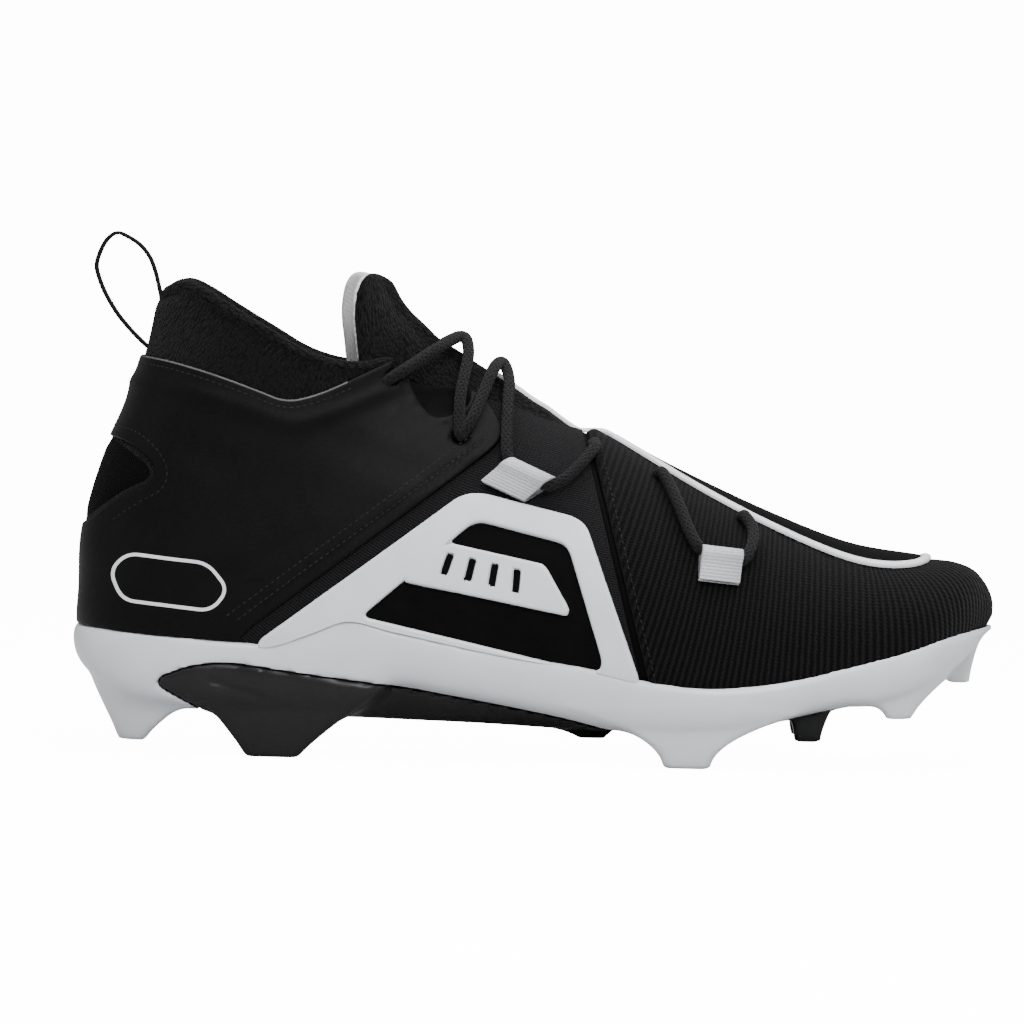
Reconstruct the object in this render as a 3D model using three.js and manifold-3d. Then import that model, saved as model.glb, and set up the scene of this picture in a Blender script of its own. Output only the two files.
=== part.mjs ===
// A mid-cut american football cleat for the right foot, standing empty on its studs.
// The upper is one hollow wall on a shoe last. A moulded sole cup with studs closes it from below, a dark
// chassis carries the heel studs, and a padded tongue, an insole, overlays, laces and a pull loop complete it.
// Millimetres, +X from heel to toe, +Y to the inner side of the foot, +Z up from the ground.
import * as THREE from 'three';
import { mergeVertices } from 'three/addons/utils/BufferGeometryUtils.js';
import Module from 'manifold-3d';

const wasm = await Module();
wasm.setup();

// Driving sizes of the last and the upper. Heights run from a datum a little above the ground.
const datum = 1.3; // the ground lies this far below, at the tips of the tall studs
const shoeLength = 300; // heel to toe tip
const ballWidth = 98; // upper across the ball of the foot
const instepHeight = 112; // ridge at the foot of the throat
const collarHeight = 153.5; // rim at the heel
const footbedHeight = 18; // underside of the heel seat
const upperWall = 2.2; // knit and backing over the forefoot
const collarWall = 5; // padded wall around the ankle
const vampStep = 0.8; // the forefoot panel stands this far over the knit behind it
const beadInset = 2.2; // the padded roll at the rim lies this far inside the wall below it
const beadRise = 3.8; // height of that roll

// Driving sizes of the overlays, which are cut between two larger forms of the last.
const gap = 0.3; // between pieces that meet
const quarterThickness = 1.1; // synthetic shell around heel and quarters
const frameThickness = 1.9; // moulded brace on the outer side
const toeBandThickness = 0.9; // smooth band over the vamp
const pipingThickness = 1.5; // pale piping around that band
const pipingWidth = 3.2;

// Driving sizes of the sole.
const sidewallTop = 38; // top of the heel cup
const soleWall = 1.5; // side of the cup at its top edge
const plateBottom = 13; // underside of the plate at the heel
const lasting = 1.5; // the upper stops this far above the last's bottom
const insoleThickness = 4.5;
const insoleClearance = 0.7;
const seamRise = 0.7; // the overlays end this far above the cup's top edge
const studWidth = 10; // across a stud's tip

// Driving sizes of tongue, laces and loops.
const tongueThickness = 4.2;
const tongueClearance = 0.5;
const tongueBulge = 2.2; // it swells this far up into the throat
const laceDiameter = 3.8;
const laceClearance = 0.6;
const webbingThickness = 0.9;
const eyeletRadius = 2.4;
const pullLoopThickness = 1.2;
const pullLoopWidth = 8;

const LATERAL = -1;
const MEDIAL = 1;
const HALF_TURN = Math.PI;

// Underside of the last: places as shares of the length, heights as shares of footbedHeight.
const footbedLine = [
  { x: -0.05, z: 1.0 },
  { x: 0.0, z: 1.0 },
  { x: 0.22, z: 1.02 },
  { x: 0.4, z: 1.06 },
  { x: 0.52, z: 0.96 },
  { x: 0.62, z: 0.81 },
  { x: 0.69, z: 0.78 },
  { x: 0.77, z: 0.92 },
  { x: 0.85, z: 1.24 },
  { x: 0.915, z: 1.56 },
  { x: 0.955, z: 1.86 },
  { x: 0.979, z: 2.2 },
  { x: 1.0, z: 2.7 },
];

// Sections of the last, fanned from the toe round the heel to the rim. Each runs from a point on the underside
// or heel back to a point on the top line. backX and topX are shares of shoeLength, rise of collarHeight above
// the footbed line, topZ of instepHeight, and the half widths, sway and lean of ballWidth. widest is where along
// the section it is widest; base and crown are how square its two ends are.
const lastSections = [
  { at: 'toe tip', backX: 0.9965, rise: 0, topX: 0.9965, topZ: 0.449, lateral: 0, medial: 0, sway: 0.11, lean: 0, widest: 0.42, base: 2.3, crown: 2.3 },
  { at: 'toe end', backX: 0.975, rise: 0, topX: 0.983, topZ: 0.537, lateral: 0.155, medial: 0.13, sway: 0.105, lean: 0, widest: 0.4, base: 2.6, crown: 2.3 },
  { at: 'toes', backX: 0.95, rise: 0, topX: 0.957, topZ: 0.575, lateral: 0.282, medial: 0.232, sway: 0.095, lean: 0.005, widest: 0.37, base: 3.2, crown: 2.3 },
  { at: 'toe box', backX: 0.917, rise: 0, topX: 0.908, topZ: 0.588, lateral: 0.385, medial: 0.317, sway: 0.075, lean: 0.015, widest: 0.34, base: 3.6, crown: 2.25 },
  { at: 'toe roots', backX: 0.847, rise: 0, topX: 0.835, topZ: 0.62, lateral: 0.458, medial: 0.392, sway: 0.05, lean: 0.03, widest: 0.31, base: 4, crown: 2.2 },
  { at: 'inner ball', backX: 0.77, rise: 0, topX: 0.744, topZ: 0.71, lateral: 0.5, medial: 0.452, sway: 0.022, lean: 0.045, widest: 0.3, base: 4, crown: 2.12 },
  { at: 'outer ball', backX: 0.693, rise: 0, topX: 0.643, topZ: 0.832, lateral: 0.512, medial: 0.46, sway: 0.002, lean: 0.05, widest: 0.3, base: 4, crown: 2.02 },
  { at: 'vamp edge', backX: 0.633, rise: 0, topX: 0.552, topZ: 0.955, lateral: 0.49, medial: 0.425, sway: -0.01, lean: 0.05, widest: 0.3, base: 4, crown: 1.95 },
  { at: 'waist', backX: 0.533, rise: 0, topX: 0.502, topZ: 1.018, lateral: 0.442, medial: 0.38, sway: -0.015, lean: 0.048, widest: 0.32, base: 3.9, crown: 1.95 },
  { at: 'arch', backX: 0.417, rise: 0, topX: 0.476, topZ: 1.063, lateral: 0.398, medial: 0.352, sway: -0.015, lean: 0.04, widest: 0.34, base: 3.8, crown: 1.98 },
  { at: 'heel front', backX: 0.283, rise: 0, topX: 0.453, topZ: 1.107, lateral: 0.372, medial: 0.348, sway: -0.01, lean: 0.03, widest: 0.36, base: 3.5, crown: 2 },
  { at: 'heel seat', backX: 0.16, rise: 0, topX: 0.433, topZ: 1.15, lateral: 0.362, medial: 0.352, sway: -0.005, lean: 0.02, widest: 0.37, base: 3.2, crown: 2.05 },
  { at: 'heel edge', backX: 0.053, rise: 0.012, topX: 0.414, topZ: 1.193, lateral: 0.36, medial: 0.354, sway: 0, lean: 0.012, widest: 0.37, base: 2.9, crown: 2.1 },
  { at: 'heel curve', backX: 0.0083, rise: 0.113, topX: 0.395, topZ: 1.228, lateral: 0.356, medial: 0.352, sway: 0, lean: 0.006, widest: 0.38, base: 2.6, crown: 2.1 },
  { at: 'heel bulge', backX: 0.0053, rise: 0.228, topX: 0.379, topZ: 1.268, lateral: 0.35, medial: 0.348, sway: 0, lean: 0, widest: 0.4, base: 2.45, crown: 2.15 },
  { at: 'heel back', backX: 0.0088, rise: 0.36, topX: 0.363, topZ: 1.308, lateral: 0.344, medial: 0.342, sway: 0, lean: 0, widest: 0.42, base: 2.4, crown: 2.2 },
  { at: 'ankle pad', backX: 0.026, rise: 0.488, topX: 0.352, topZ: 1.35, lateral: 0.34, medial: 0.338, sway: 0, lean: 0, widest: 0.44, base: 2.35, crown: 2.2 },
  { at: 'ankle', backX: 0.052, rise: 0.617, topX: 0.345, topZ: 1.4, lateral: 0.338, medial: 0.336, sway: 0, lean: 0, widest: 0.46, base: 2.3, crown: 2.2 },
  { at: 'cuff', backX: 0.0697, rise: 0.727, topX: 0.345, topZ: 1.457, lateral: 0.335, medial: 0.333, sway: 0, lean: 0, widest: 0.47, base: 2.3, crown: 2.2 },
  { at: 'rim', backX: 0.082, rise: 0.85, topX: 0.343, topZ: 1.537, lateral: 0.333, medial: 0.331, sway: 0, lean: 0, widest: 0.48, base: 2.3, crown: 2.2 },
  { at: 'over the rim', backX: 0.095, rise: 0.96, topX: 0.343, topZ: 1.63, lateral: 0.333, medial: 0.331, sway: 0, lean: 0, widest: 0.48, base: 2.3, crown: 2.2 },
];
const sectionNamed = (name) => lastSections.findIndex((row) => row.at === name);
const TOE_ROOTS = sectionNamed('toe roots');
const VAMP_EDGE = sectionNamed('vamp edge');
const WAIST = sectionNamed('waist');
const ARCH = sectionNamed('arch');
const HEEL_SEAT = sectionNamed('heel seat');
const HEEL_EDGE = sectionNamed('heel edge');
const HEEL_CURVE = sectionNamed('heel curve');
const HEEL_BULGE = sectionNamed('heel bulge');

// Rim of the collar from the side: shares of shoeLength and of collarHeight.
const rimLine = [
  [-0.1, 0.972], [0.07, 0.975], [0.085, 0.987], [0.103, 1.0], [0.125, 0.984], [0.15, 0.956], [0.192, 0.91],
  [0.236, 0.862], [0.264, 0.843], [0.288, 0.835], [0.315, 0.836], [0.343, 0.855], [0.37, 0.884], [0.4, 0.93], [0.6, 1.3],
];

// Half of the throat from above: shares of shoeLength and of ballWidth.
const throatHalf = [
  [0.28, 0.24], [0.35, 0.225], [0.385, 0.2], [0.42, 0.178], [0.47, 0.165], [0.51, 0.15], [0.54, 0.12], [0.56, 0.07],
];

// Quarter shell from the side, clockwise from the heel back: shares of shoeLength and of collarHeight.
const quarterOutline = [
  [-0.1, 0.85], [0.062, 0.83], [0.1, 0.822], [0.15, 0.796], [0.195, 0.765], [0.226, 0.741], [0.262, 0.76],
  [0.31, 0.806], [0.358, 0.851], [0.38, 0.862], [0.4, 0.845], [0.424, 0.782], [0.456, 0.712], [0.461, 0.667],
  [0.172, 0.236], [0.168, 0.1], [-0.1, 0.1],
];
// Bare patch over the tendon that the quarter shell goes round, from the heel back.
const patchOutline = [
  [-0.1, 0.657], [0.04, 0.657], [0.06, 0.645], [0.081, 0.618], [0.088, 0.59], [0.083, 0.566], [0.061, 0.545],
  [0.035, 0.51], [0.008, 0.468], [-0.1, 0.44],
];

// Brace on the outer side: outline, window and crossbar, from the side, same shares.
const frameOutline = [
  [0.2, 0.2], [0.2, 0.238], [0.412, 0.547], [0.425, 0.556], [0.442, 0.556], [0.538, 0.512], [0.552, 0.494],
  [0.612, 0.178], [0.612, 0.1], [0.2, 0.1],
];
const frameWindow = [
  [0.312, 0.295], [0.425, 0.489], [0.435, 0.496], [0.442, 0.496], [0.527, 0.457], [0.534, 0.442], [0.572, 0.214],
  [0.569, 0.196], [0.556, 0.193],
];
const frameCrossbar = [
  [0.38, 0.44], [0.407, 0.452], [0.508, 0.413], [0.536, 0.32], [0.533, 0.307], [0.355, 0.37],
];

// Band over the vamp from above, out to the side: shares of shoeLength and of ballWidth.
const toeBandHalf = [
  [0.575, 0.13], [0.62, 0.145], [0.68, 0.155], [0.75, 0.185], [0.81, 0.212], [0.855, 0.222], [0.885, 0.207],
  [0.903, 0.17], [0.914, 0.115], [0.918, 0.05],
];

// Top of the sole's side wall: shares of shoeLength and of sidewallTop. The outer side has a hump.
const wallTopMedial = [
  [-0.02, 1.05], [0.0, 1.048], [0.08, 0.992], [0.19, 0.942], [0.3, 0.95], [0.36, 0.97], [0.46, 0.91], [0.559, 0.8],
  [0.614, 0.715], [0.679, 0.665], [0.734, 0.69], [0.788, 0.76], [0.842, 0.865], [0.897, 0.98], [0.95, 1.115],
  [0.985, 1.17], [1.0, 1.185],
];
const wallTopLateral = [
  [-0.02, 1.05], [0.0, 1.048], [0.08, 0.992], [0.19, 0.942], [0.216, 0.935], [0.262, 1.06], [0.297, 1.155],
  [0.345, 1.08], [0.46, 0.91], [0.559, 0.8], [0.614, 0.715], [0.679, 0.665], [0.734, 0.69], [0.788, 0.76],
  [0.842, 0.865], [0.897, 0.98], [0.95, 1.115], [0.985, 1.17], [1.0, 1.185],
];
// Lower edge of the side wall and keel of the plate: shares of shoeLength and of plateBottom.
const wallFoot = [
  [-0.02, 2.0], [0.0, 1.95], [0.03, 1.6], [0.07, 1.2], [0.14, 1.03], [0.25, 0.98], [0.3, 1.02], [0.325, 1.35], [0.35, 1.7], [0.4, 1.56],
  [0.46, 1.33], [0.527, 1.06], [0.571, 0.84], [0.63, 0.74], [0.69, 0.78], [0.722, 0.86], [0.745, 1.02], [0.78, 1.22], [0.83, 1.46],
  [0.865, 1.5], [0.9, 1.72], [0.944, 2.18], [0.97, 2.62], [0.99, 3.15], [1.0, 3.3],
];
const keelLine = [
  [-0.02, 1.0], [0.2, 0.98], [0.3, 0.88], [0.45, 0.8], [0.55, 0.72], [0.65, 0.72], [0.72, 0.8], [0.78, 1.08],
  [0.83, 1.34], [0.87, 1.52], [0.92, 1.85], [1.0, 2.6],
];
// Rings of the sole's outside below its top edge: drop as a share of the wall's height, inset in millimetres.
const wallRings = [
  { drop: 0.3, inset: -0.6 },
  { drop: 0.64, inset: 0.2 },
  { drop: 0.87, inset: 2.6 },
  { drop: 1.0, inset: 7.2 },
];

// Dark chassis from the side: everything of the sole inside this outline is the chassis.
const chassisOutline = [
  [0.086, 1.77], [0.13, 2.15], [0.153, 2.22], [0.178, 2.22], [0.243, 2.02], [0.353, 1.73], [0.462, 1.33],
  [0.528, 1.06], [0.572, 0.83], [0.6, 0.55], [0.612, -0.5], [0.145, -0.5], [0.148, 0.98], [0.115, 1.38],
];

// Studs. tip and base are where each starts and ends along the shoe, as shares of shoeLength; reach is the height
// of its tip and root the height of its base as shares of plateBottom; inset is how far its outer face lies inside the sole's edge; flare bends its flanks out to the base.
const GROUND = -datum / plateBottom;
const studTable = [
  { name: 'heel rear', tip: [0.048, 0.079], base: [0.014, 0.15], reach: 0.2, root: 1.6, inset: [12, 6], width: 1.0, flare: 1.3 },
  { name: 'ball', tip: [0.639, 0.69], base: [0.582, 0.748], reach: GROUND, root: 1.0, inset: [5, 2.2], width: 1.0, flare: 2 },
  { name: 'toe side', tip: [0.88, 0.908], base: [0.845, 0.935], reach: 1.17, root: 1.95, inset: [6.5, 3], width: 0.85, flare: 1.4 },
];
const darkStudTable = [
  { name: 'heel front', tip: [0.189, 0.246], base: [0.142, 0.315], reach: GROUND, root: 1.3, inset: [4.5, 1.6], width: 1.05, flare: 1.15 },
];
const toeNose = { tip: [0.95, 0.974], base: [0.925, 0.981], reach: 2.0, root: 2.9, half: 7, flare: 1.5 };
const chassisNose = { tip: [0.548, 0.578], base: [0.49, 0.6], reach: 0.43, root: 0.85, half: 6, flare: 1.5 };
const middleStud = { tip: [0.782, 0.81], base: [0.772, 0.826], reach: 0.53, root: 1.6, half: 5, flare: 1.5, offset: 0.19 };
const insertPocket = { from: 0.762, to: 0.84, half: 0.3, sink: 2.2 };
const STUD_LEVELS = 4;
const STUD_SLICES = 4;
const insetShrink = 0.6; // a stud's inner face leans in by this share of its width

// Where the laces run, as places on the last: section number, angle from underside to top as a share of a half
// turn, side of the foot for a lace that starts on the outer side, and lift off the last in lace diameters.
const upperLace = [
  [13.0, 0.785, LATERAL, 1.0], [12.7, 0.87, LATERAL, 1.15], [12.2, 1.0, LATERAL, 1.2], [11.5, 0.91, MEDIAL, 1.15],
  [10.8, 0.81, MEDIAL, 1.1], [10.25, 0.755, MEDIAL, 1.0], [10.15, 0.79, MEDIAL, 1.0], [10.3, 0.9, MEDIAL, 0.95],
  [10.15, 1.0, LATERAL, 0.95], [9.6, 0.92, LATERAL, 0.9], [9.2, 0.84, LATERAL, 0.9], [8.95, 0.775, LATERAL, 0.95],
  [8.8, 0.738, LATERAL, 1.0], [8.55, 0.722, LATERAL, 1.05], [8.22, 0.717, LATERAL, 1.05],
  [7.88, 0.714, LATERAL, 1.05], [7.55, 0.74, LATERAL, 0.95], [7.25, 0.78, LATERAL, 0.95],
  [7.05, 0.825, LATERAL, 1.0], [7.02, 0.86, LATERAL, 0.85],
];
const lowerLace = [
  [6.2, 0.855, 0.8], [6.12, 0.82, 0.95], [6.0, 0.77, 0.95], [5.87, 0.725, 0.95], [5.75, 0.7, 1.0],
  [5.53, 0.7, 1.0], [5.31, 0.705, 1.0], [5.2, 0.74, 1.0], [5.21, 0.785, 0.95], [5.29, 0.825, 0.8],
];
const eyelets = [
  { at: 13.0, turn: 0.77 },
  { at: 10.15, turn: 0.74 },
];
const webbingPlaces = [
  { at: 8.25, turn: 0.718, width: 13, tilt: -0.42, lift: 1.05 },
  { at: 5.53, turn: 0.7, width: 11, tilt: -0.2, lift: 1.0 },
];
const webbingTail = 6.5;

// Pull loop behind the heel from the side, from its seat on the ledge under the rim round to its lower seat on
// the cuff, in shares of its height.
const pullLoopHeight = 37;
const pullLoopPath = [
  [0.0, 0.0], [-0.01, 0.04], [-0.049, 0.19], [-0.103, 0.322], [-0.195, 0.432], [-0.311, 0.503], [-0.389, 0.53],
  [-0.457, 0.495], [-0.522, 0.403], [-0.57, 0.246], [-0.538, 0.111], [-0.478, -0.024], [-0.373, -0.189],
  [-0.257, -0.324], [-0.15, -0.425],
];

// Smooth curve through the points of a table with places in order.
function curveThrough(points) {
  const slopes = points.map((p, i) => {
    const a = points[Math.max(i - 1, 0)];
    const b = points[Math.min(i + 1, points.length - 1)];
    return (b[1] - a[1]) / (b[0] - a[0]);
  });
  return (x) => {
    if (x <= points[0][0]) return points[0][1];
    if (x >= points.at(-1)[0]) return points.at(-1)[1];
    const i = points.findIndex((p) => p[0] > x) - 1;
    const [x0, y0] = points[i];
    const [x1, y1] = points[i + 1];
    const h = x1 - x0;
    const u = (x - x0) / h;
    const rise = slopes[i] * h * u * (1 - u) ** 2 - slopes[i + 1] * h * u * u * (1 - u);
    return y0 + (y1 - y0) * u * u * (3 - 2 * u) + rise;
  };
}

const scaled = (points, sx, sy) => points.map(([x, y]) => [x * sx, y * sy]);
const footbedAt = curveThrough(footbedLine.map((p) => [p.x * shoeLength, p.z * footbedHeight]));
const wallTopAt = {
  [LATERAL]: curveThrough(scaled(wallTopLateral, shoeLength, sidewallTop)),
  [MEDIAL]: curveThrough(scaled(wallTopMedial, shoeLength, sidewallTop)),
};
const rimAt = curveThrough(scaled(rimLine, shoeLength, collarHeight));
const wallFootAt = curveThrough(scaled(wallFoot, shoeLength, plateBottom));
const keelAt = curveThrough(scaled(keelLine, shoeLength, plateBottom));

// The last's sections in millimetres, with a mirrored row before the toe tip so that the toe closes smoothly.
const COLUMNS = ['backX', 'backZ', 'topX', 'topZ', 'lateral', 'medial', 'sway', 'lean', 'widest', 'base', 'crown'];
const rows = lastSections.map((row) => ({
  backX: row.backX * shoeLength,
  backZ: footbedAt(row.backX * shoeLength) + row.rise * collarHeight,
  topX: row.topX * shoeLength,
  topZ: row.topZ * instepHeight,
  lateral: row.lateral * ballWidth,
  medial: row.medial * ballWidth,
  sway: row.sway * ballWidth,
  lean: row.lean * ballWidth,
  widest: row.widest,
  base: row.base,
  crown: row.crown,
}));
const beforeToe = {
  ...rows[1],
  backX: rows[1].topX,
  backZ: rows[1].topZ,
  topX: rows[1].backX,
  topZ: rows[1].backZ,
  lateral: -rows[1].lateral,
  medial: -rows[1].medial,
};
const LAST_ROW = rows.length - 1;

function sectionAt(s) {
  const i = Math.min(Math.floor(s), LAST_ROW - 1);
  const u = s - i;
  const before = i === 0 ? beforeToe : rows[i - 1];
  const after = rows[Math.min(i + 2, LAST_ROW)];
  const section = {};
  for (const key of COLUMNS) {
    const [a, b, c, d] = [before[key], rows[i][key], rows[i + 1][key], after[key]];
    section[key] = b + 0.5 * u * (c - a + u * (2 * a - 5 * b + 4 * c - d + u * (3 * (b - c) + d - a)));
  }
  return section;
}

// Point on the last: s counts sections from the toe, angle runs from the underside (0) to the top line (pi).
function lastPoint(s, angle, side) {
  const k = sectionAt(s);
  const c = Math.cos(angle);
  const q = Math.sin(angle);
  const power = c >= 0 ? k.base : k.crown;
  const r = (Math.abs(c) ** power + Math.abs(q) ** power) ** (-1 / power);
  const along = c >= 0 ? k.widest * (1 - c * r) : k.widest - (1 - k.widest) * c * r;
  const half = side === LATERAL ? k.lateral : k.medial;
  return new THREE.Vector3(
    k.backX + (k.topX - k.backX) * along,
    k.sway + k.lean * along + side * half * q * r,
    k.backZ + (k.topZ - k.backZ) * along,
  );
}

const STEP = 0.02;
function lastNormal(s, angle, side) {
  if (s < STEP) return new THREE.Vector3(1, 0, 0);
  const low = Math.max(s - STEP, STEP / 2);
  const high = Math.min(s + STEP, LAST_ROW);
  const along = lastPoint(high, angle, side).sub(lastPoint(low, angle, side));
  const around = lastPoint(s, angle + STEP, side).sub(lastPoint(s, angle - STEP, side));
  const out = side === LATERAL ? around.cross(along) : along.cross(around);
  return out.normalize();
}

// Point that lies off the last's outside by a distance.
const offLast = (s, angle, side, distance) =>
  lastPoint(s, angle, side).addScaledVector(lastNormal(s, angle, side), distance);

const smooth = (a, b, x) => {
  const u = THREE.MathUtils.clamp((x - a) / (b - a), 0, 1);
  return u * u * (3 - 2 * u);
};
const wallAt = (s) => upperWall + (collarWall - upperWall) * smooth(ARCH, HEEL_CURVE, s);

// Closed geometry from rings of points. A ring of one point closes an end; any other end gets a flat fan.
function loftRings(rings) {
  const positions = [];
  const starts = rings.map((ring) => {
    const first = positions.length / 3;
    ring.forEach((p) => positions.push(p.x, p.y, p.z));
    return first;
  });
  const faces = [];
  const fan = (start, ring, centre, flip) => {
    for (let j = 0; j < ring.length; j++) {
      const a = start + j;
      const b = start + ((j + 1) % ring.length);
      faces.push(...(flip ? [centre, b, a] : [centre, a, b]));
    }
  };
  for (let i = 0; i + 1 < rings.length; i++) {
    const [a, b] = [rings[i], rings[i + 1]];
    if (a.length === 1) fan(starts[i + 1], b, starts[i], true);
    else if (b.length === 1) fan(starts[i], a, starts[i + 1], false);
    else
      for (let j = 0; j < a.length; j++) {
        const k = (j + 1) % a.length;
        const [p, q, r, t] = [starts[i] + j, starts[i] + k, starts[i + 1] + k, starts[i + 1] + j];
        faces.push(p, q, t, q, r, t);
      }
  }
  [0, rings.length - 1].forEach((i) => {
    if (rings[i].length === 1) return;
    const middle = rings[i].reduce((sum, p) => sum.add(p), new THREE.Vector3()).divideScalar(rings[i].length);
    positions.push(middle.x, middle.y, middle.z);
    fan(starts[i], rings[i], positions.length / 3 - 1, i === 0);
  });
  const geometry = new THREE.BufferGeometry();
  geometry.setAttribute('position', new THREE.Float32BufferAttribute(positions, 3));
  geometry.setIndex(faces);
  return geometry;
}

// Solid of a closed geometry, turned the right way out.
function solidOf(geometry) {
  const bare = geometry.clone();
  bare.deleteAttribute('normal');
  bare.deleteAttribute('uv');
  const merged = mergeVertices(bare, 1e-4);
  const triVerts = new Uint32Array(merged.index.array);
  const make = () =>
    new wasm.Manifold(new wasm.Mesh({ numProp: 3, vertProperties: merged.attributes.position.array, triVerts }));
  const solid = make();
  if (solid.volume() > 0) return solid;
  for (let i = 0; i < triVerts.length; i += 3) [triVerts[i + 1], triVerts[i + 2]] = [triVerts[i + 2], triVerts[i + 1]];
  return make();
}

function geometryOf(solid) {
  const { numProp, numVert, vertProperties, triVerts } = solid.getMesh();
  const positions = new Float32Array(numVert * 3);
  for (let i = 0; i < numVert; i++) positions.set(vertProperties.subarray(i * numProp, i * numProp + 3), i * 3);
  const geometry = new THREE.BufferGeometry();
  geometry.setAttribute('position', new THREE.BufferAttribute(positions, 3));
  geometry.setIndex(new THREE.BufferAttribute(new Uint32Array(triVerts), 1));
  geometry.computeVertexNormals();
  return geometry;
}

// Stations along the last and angles round it: fine over toe and heel, with a close pair at the vamp's edge.
const EDGE_HALF = 0.03;
const stations = [0.35, 0.7];
for (let s = 1; s <= LAST_ROW; s += s < TOE_ROOTS || (s >= HEEL_SEAT && s < HEEL_BULGE) ? 0.5 : 1) {
  if (s === VAMP_EDGE) stations.push(s - EDGE_HALF, s + EDGE_HALF);
  else stations.push(s);
}
const BASE_STEPS = 4;
const CROWN_STEPS = 7;
const angles = [];
for (let j = 0; j < BASE_STEPS; j++) angles.push((HALF_TURN / 2) * (j / BASE_STEPS));
for (let j = 0; j <= CROWN_STEPS; j++) angles.push((HALF_TURN / 2) * (1 + j / CROWN_STEPS));

// The last grown (or shrunk) by a distance that may change along it and round it.
function lastSolid(distanceAt) {
  const ring = (s) => [
    ...angles.map((a) => offLast(s, a, LATERAL, distanceAt(s, a))),
    ...angles.slice(1, -1).reverse().map((a) => offLast(s, a, MEDIAL, distanceAt(s, a))),
  ];
  const tip = lastPoint(0, 0, LATERAL).add(lastPoint(0, HALF_TURN, LATERAL)).multiplyScalar(0.5);
  tip.x += distanceAt(0, 0);
  return solidOf(loftRings([[tip], ...stations.map(ring)]));
}

// Solid with an outline seen from the side, between two places across the shoe.
function sidePrism(points, yFrom, yTo) {
  const shape = new THREE.Shape(points.map(([x, z]) => new THREE.Vector2(x, z)));
  const geometry = new THREE.ExtrudeGeometry(shape, { depth: yTo - yFrom, bevelEnabled: false });
  geometry.rotateX(HALF_TURN / 2).translate(0, yTo, 0);
  return solidOf(geometry);
}

// Closed outline moved outward by a distance at every corner.
function grownOutline(points, grow) {
  const area = points.reduce((sum, [x, z], i) => {
    const [u, v] = points[(i + 1) % points.length];
    return sum + x * v - u * z;
  }, 0);
  return points.map((p, i) => {
    const [a, b] = [points[(i + points.length - 1) % points.length], points[(i + 1) % points.length]];
    const before = new THREE.Vector2(p[1] - a[1], a[0] - p[0]).normalize();
    const after = new THREE.Vector2(b[1] - p[1], p[0] - b[0]).normalize();
    const move = before.clone().add(after).multiplyScalar((Math.sign(area) * grow) / Math.max(1 + before.dot(after), 0.4));
    return [p[0] + move.x, p[1] + move.y];
  });
}

// Solid with an outline seen from above, mirrored about a line that follows the ridge of the last.
function planPrism(halfPoints, middleAt, zFrom, zTo) {
  const right = halfPoints.map(([x, y]) => new THREE.Vector2(x, middleAt(x) + y));
  const left = halfPoints.map(([x, y]) => new THREE.Vector2(x, middleAt(x) - y)).reverse();
  const geometry = new THREE.ExtrudeGeometry(new THREE.Shape([...right, ...left]), {
    depth: zTo - zFrom,
    bevelEnabled: false,
  });
  return solidOf(geometry.translate(0, 0, zFrom));
}

// Points of a smooth line over a range, for a prism's edge.
function sampled(lineAt, from, to, count, lift = 0) {
  const points = [];
  for (let i = 0; i <= count; i++) {
    const x = from + ((to - from) * i) / count;
    points.push([x, lineAt(x) + lift]);
  }
  return points;
}

const farY = ballWidth; // wider than the shoe
const highZ = 2 * collarHeight;
const lowZ = -footbedHeight;
const farX = 0.2 * shoeLength;
const FLOOR_STEPS = 18;

// Everything below the last's bottom raised by a distance.
const belowFootbed = (lift) =>
  sidePrism(
    [...sampled(footbedAt, -farX, shoeLength + farX, FLOOR_STEPS * 2, lift), [shoeLength + farX, lowZ], [-farX, lowZ]],
    -farY,
    farY,
  );

const ridgeAt = curveThrough(
  rows
    .slice(1, VAMP_EDGE + 8)
    .map((k) => [k.topX, k.sway + k.lean])
    .reverse(),
);

// Line round the shoe where the sole's wall ends, found on the last from the toe back along one side.
function wallLine(side) {
  const over = (s, angle) => {
    const p = lastPoint(s, angle, side);
    return p.z - wallTopAt[side](p.x);
  };
  const solve = (f, low, high) => {
    for (let i = 0; i < 40; i++) {
      const middle = (low + high) / 2;
      if (f(middle) > 0 === f(low) > 0) low = middle;
      else high = middle;
    }
    return (low + high) / 2;
  };
  const toeEnd = solve((s) => over(s, 0), 0.01, 2);
  const heelEnd = solve((s) => over(s, 0), HEEL_CURVE - 1, HEEL_CURVE + 2);
  const points = [];
  const count = 120;
  for (let i = 0; i <= count; i++) {
    const s = toeEnd + ((heelEnd - toeEnd) * (1 - Math.cos((HALF_TURN * i) / count))) / 2;
    const angle = i === 0 || i === count ? 0 : solve((a) => over(s, a), 0, HALF_TURN * 0.95);
    points.push(lastPoint(s, angle, side));
  }
  return points;
}

const RIM_STEPS = 64;
const edgeLine = (() => {
  const loop = [...wallLine(LATERAL), ...wallLine(MEDIAL).slice(1, -1).reverse()];
  const curve = new THREE.CatmullRomCurve3(loop, true, 'chordal');
  curve.arcLengthDivisions = 800;
  return curve.getSpacedPoints(RIM_STEPS).slice(0, RIM_STEPS);
})();
const edgeOut = edgeLine.map((p, i) => {
  const next = edgeLine[(i + 1) % RIM_STEPS];
  const last = edgeLine[(i + RIM_STEPS - 1) % RIM_STEPS];
  const out = new THREE.Vector3(next.y - last.y, last.x - next.x, 0).normalize();
  return out.dot(new THREE.Vector3(p.x - shoeLength / 2, p.y, 0)) < 0 ? out.negate() : out;
});

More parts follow.
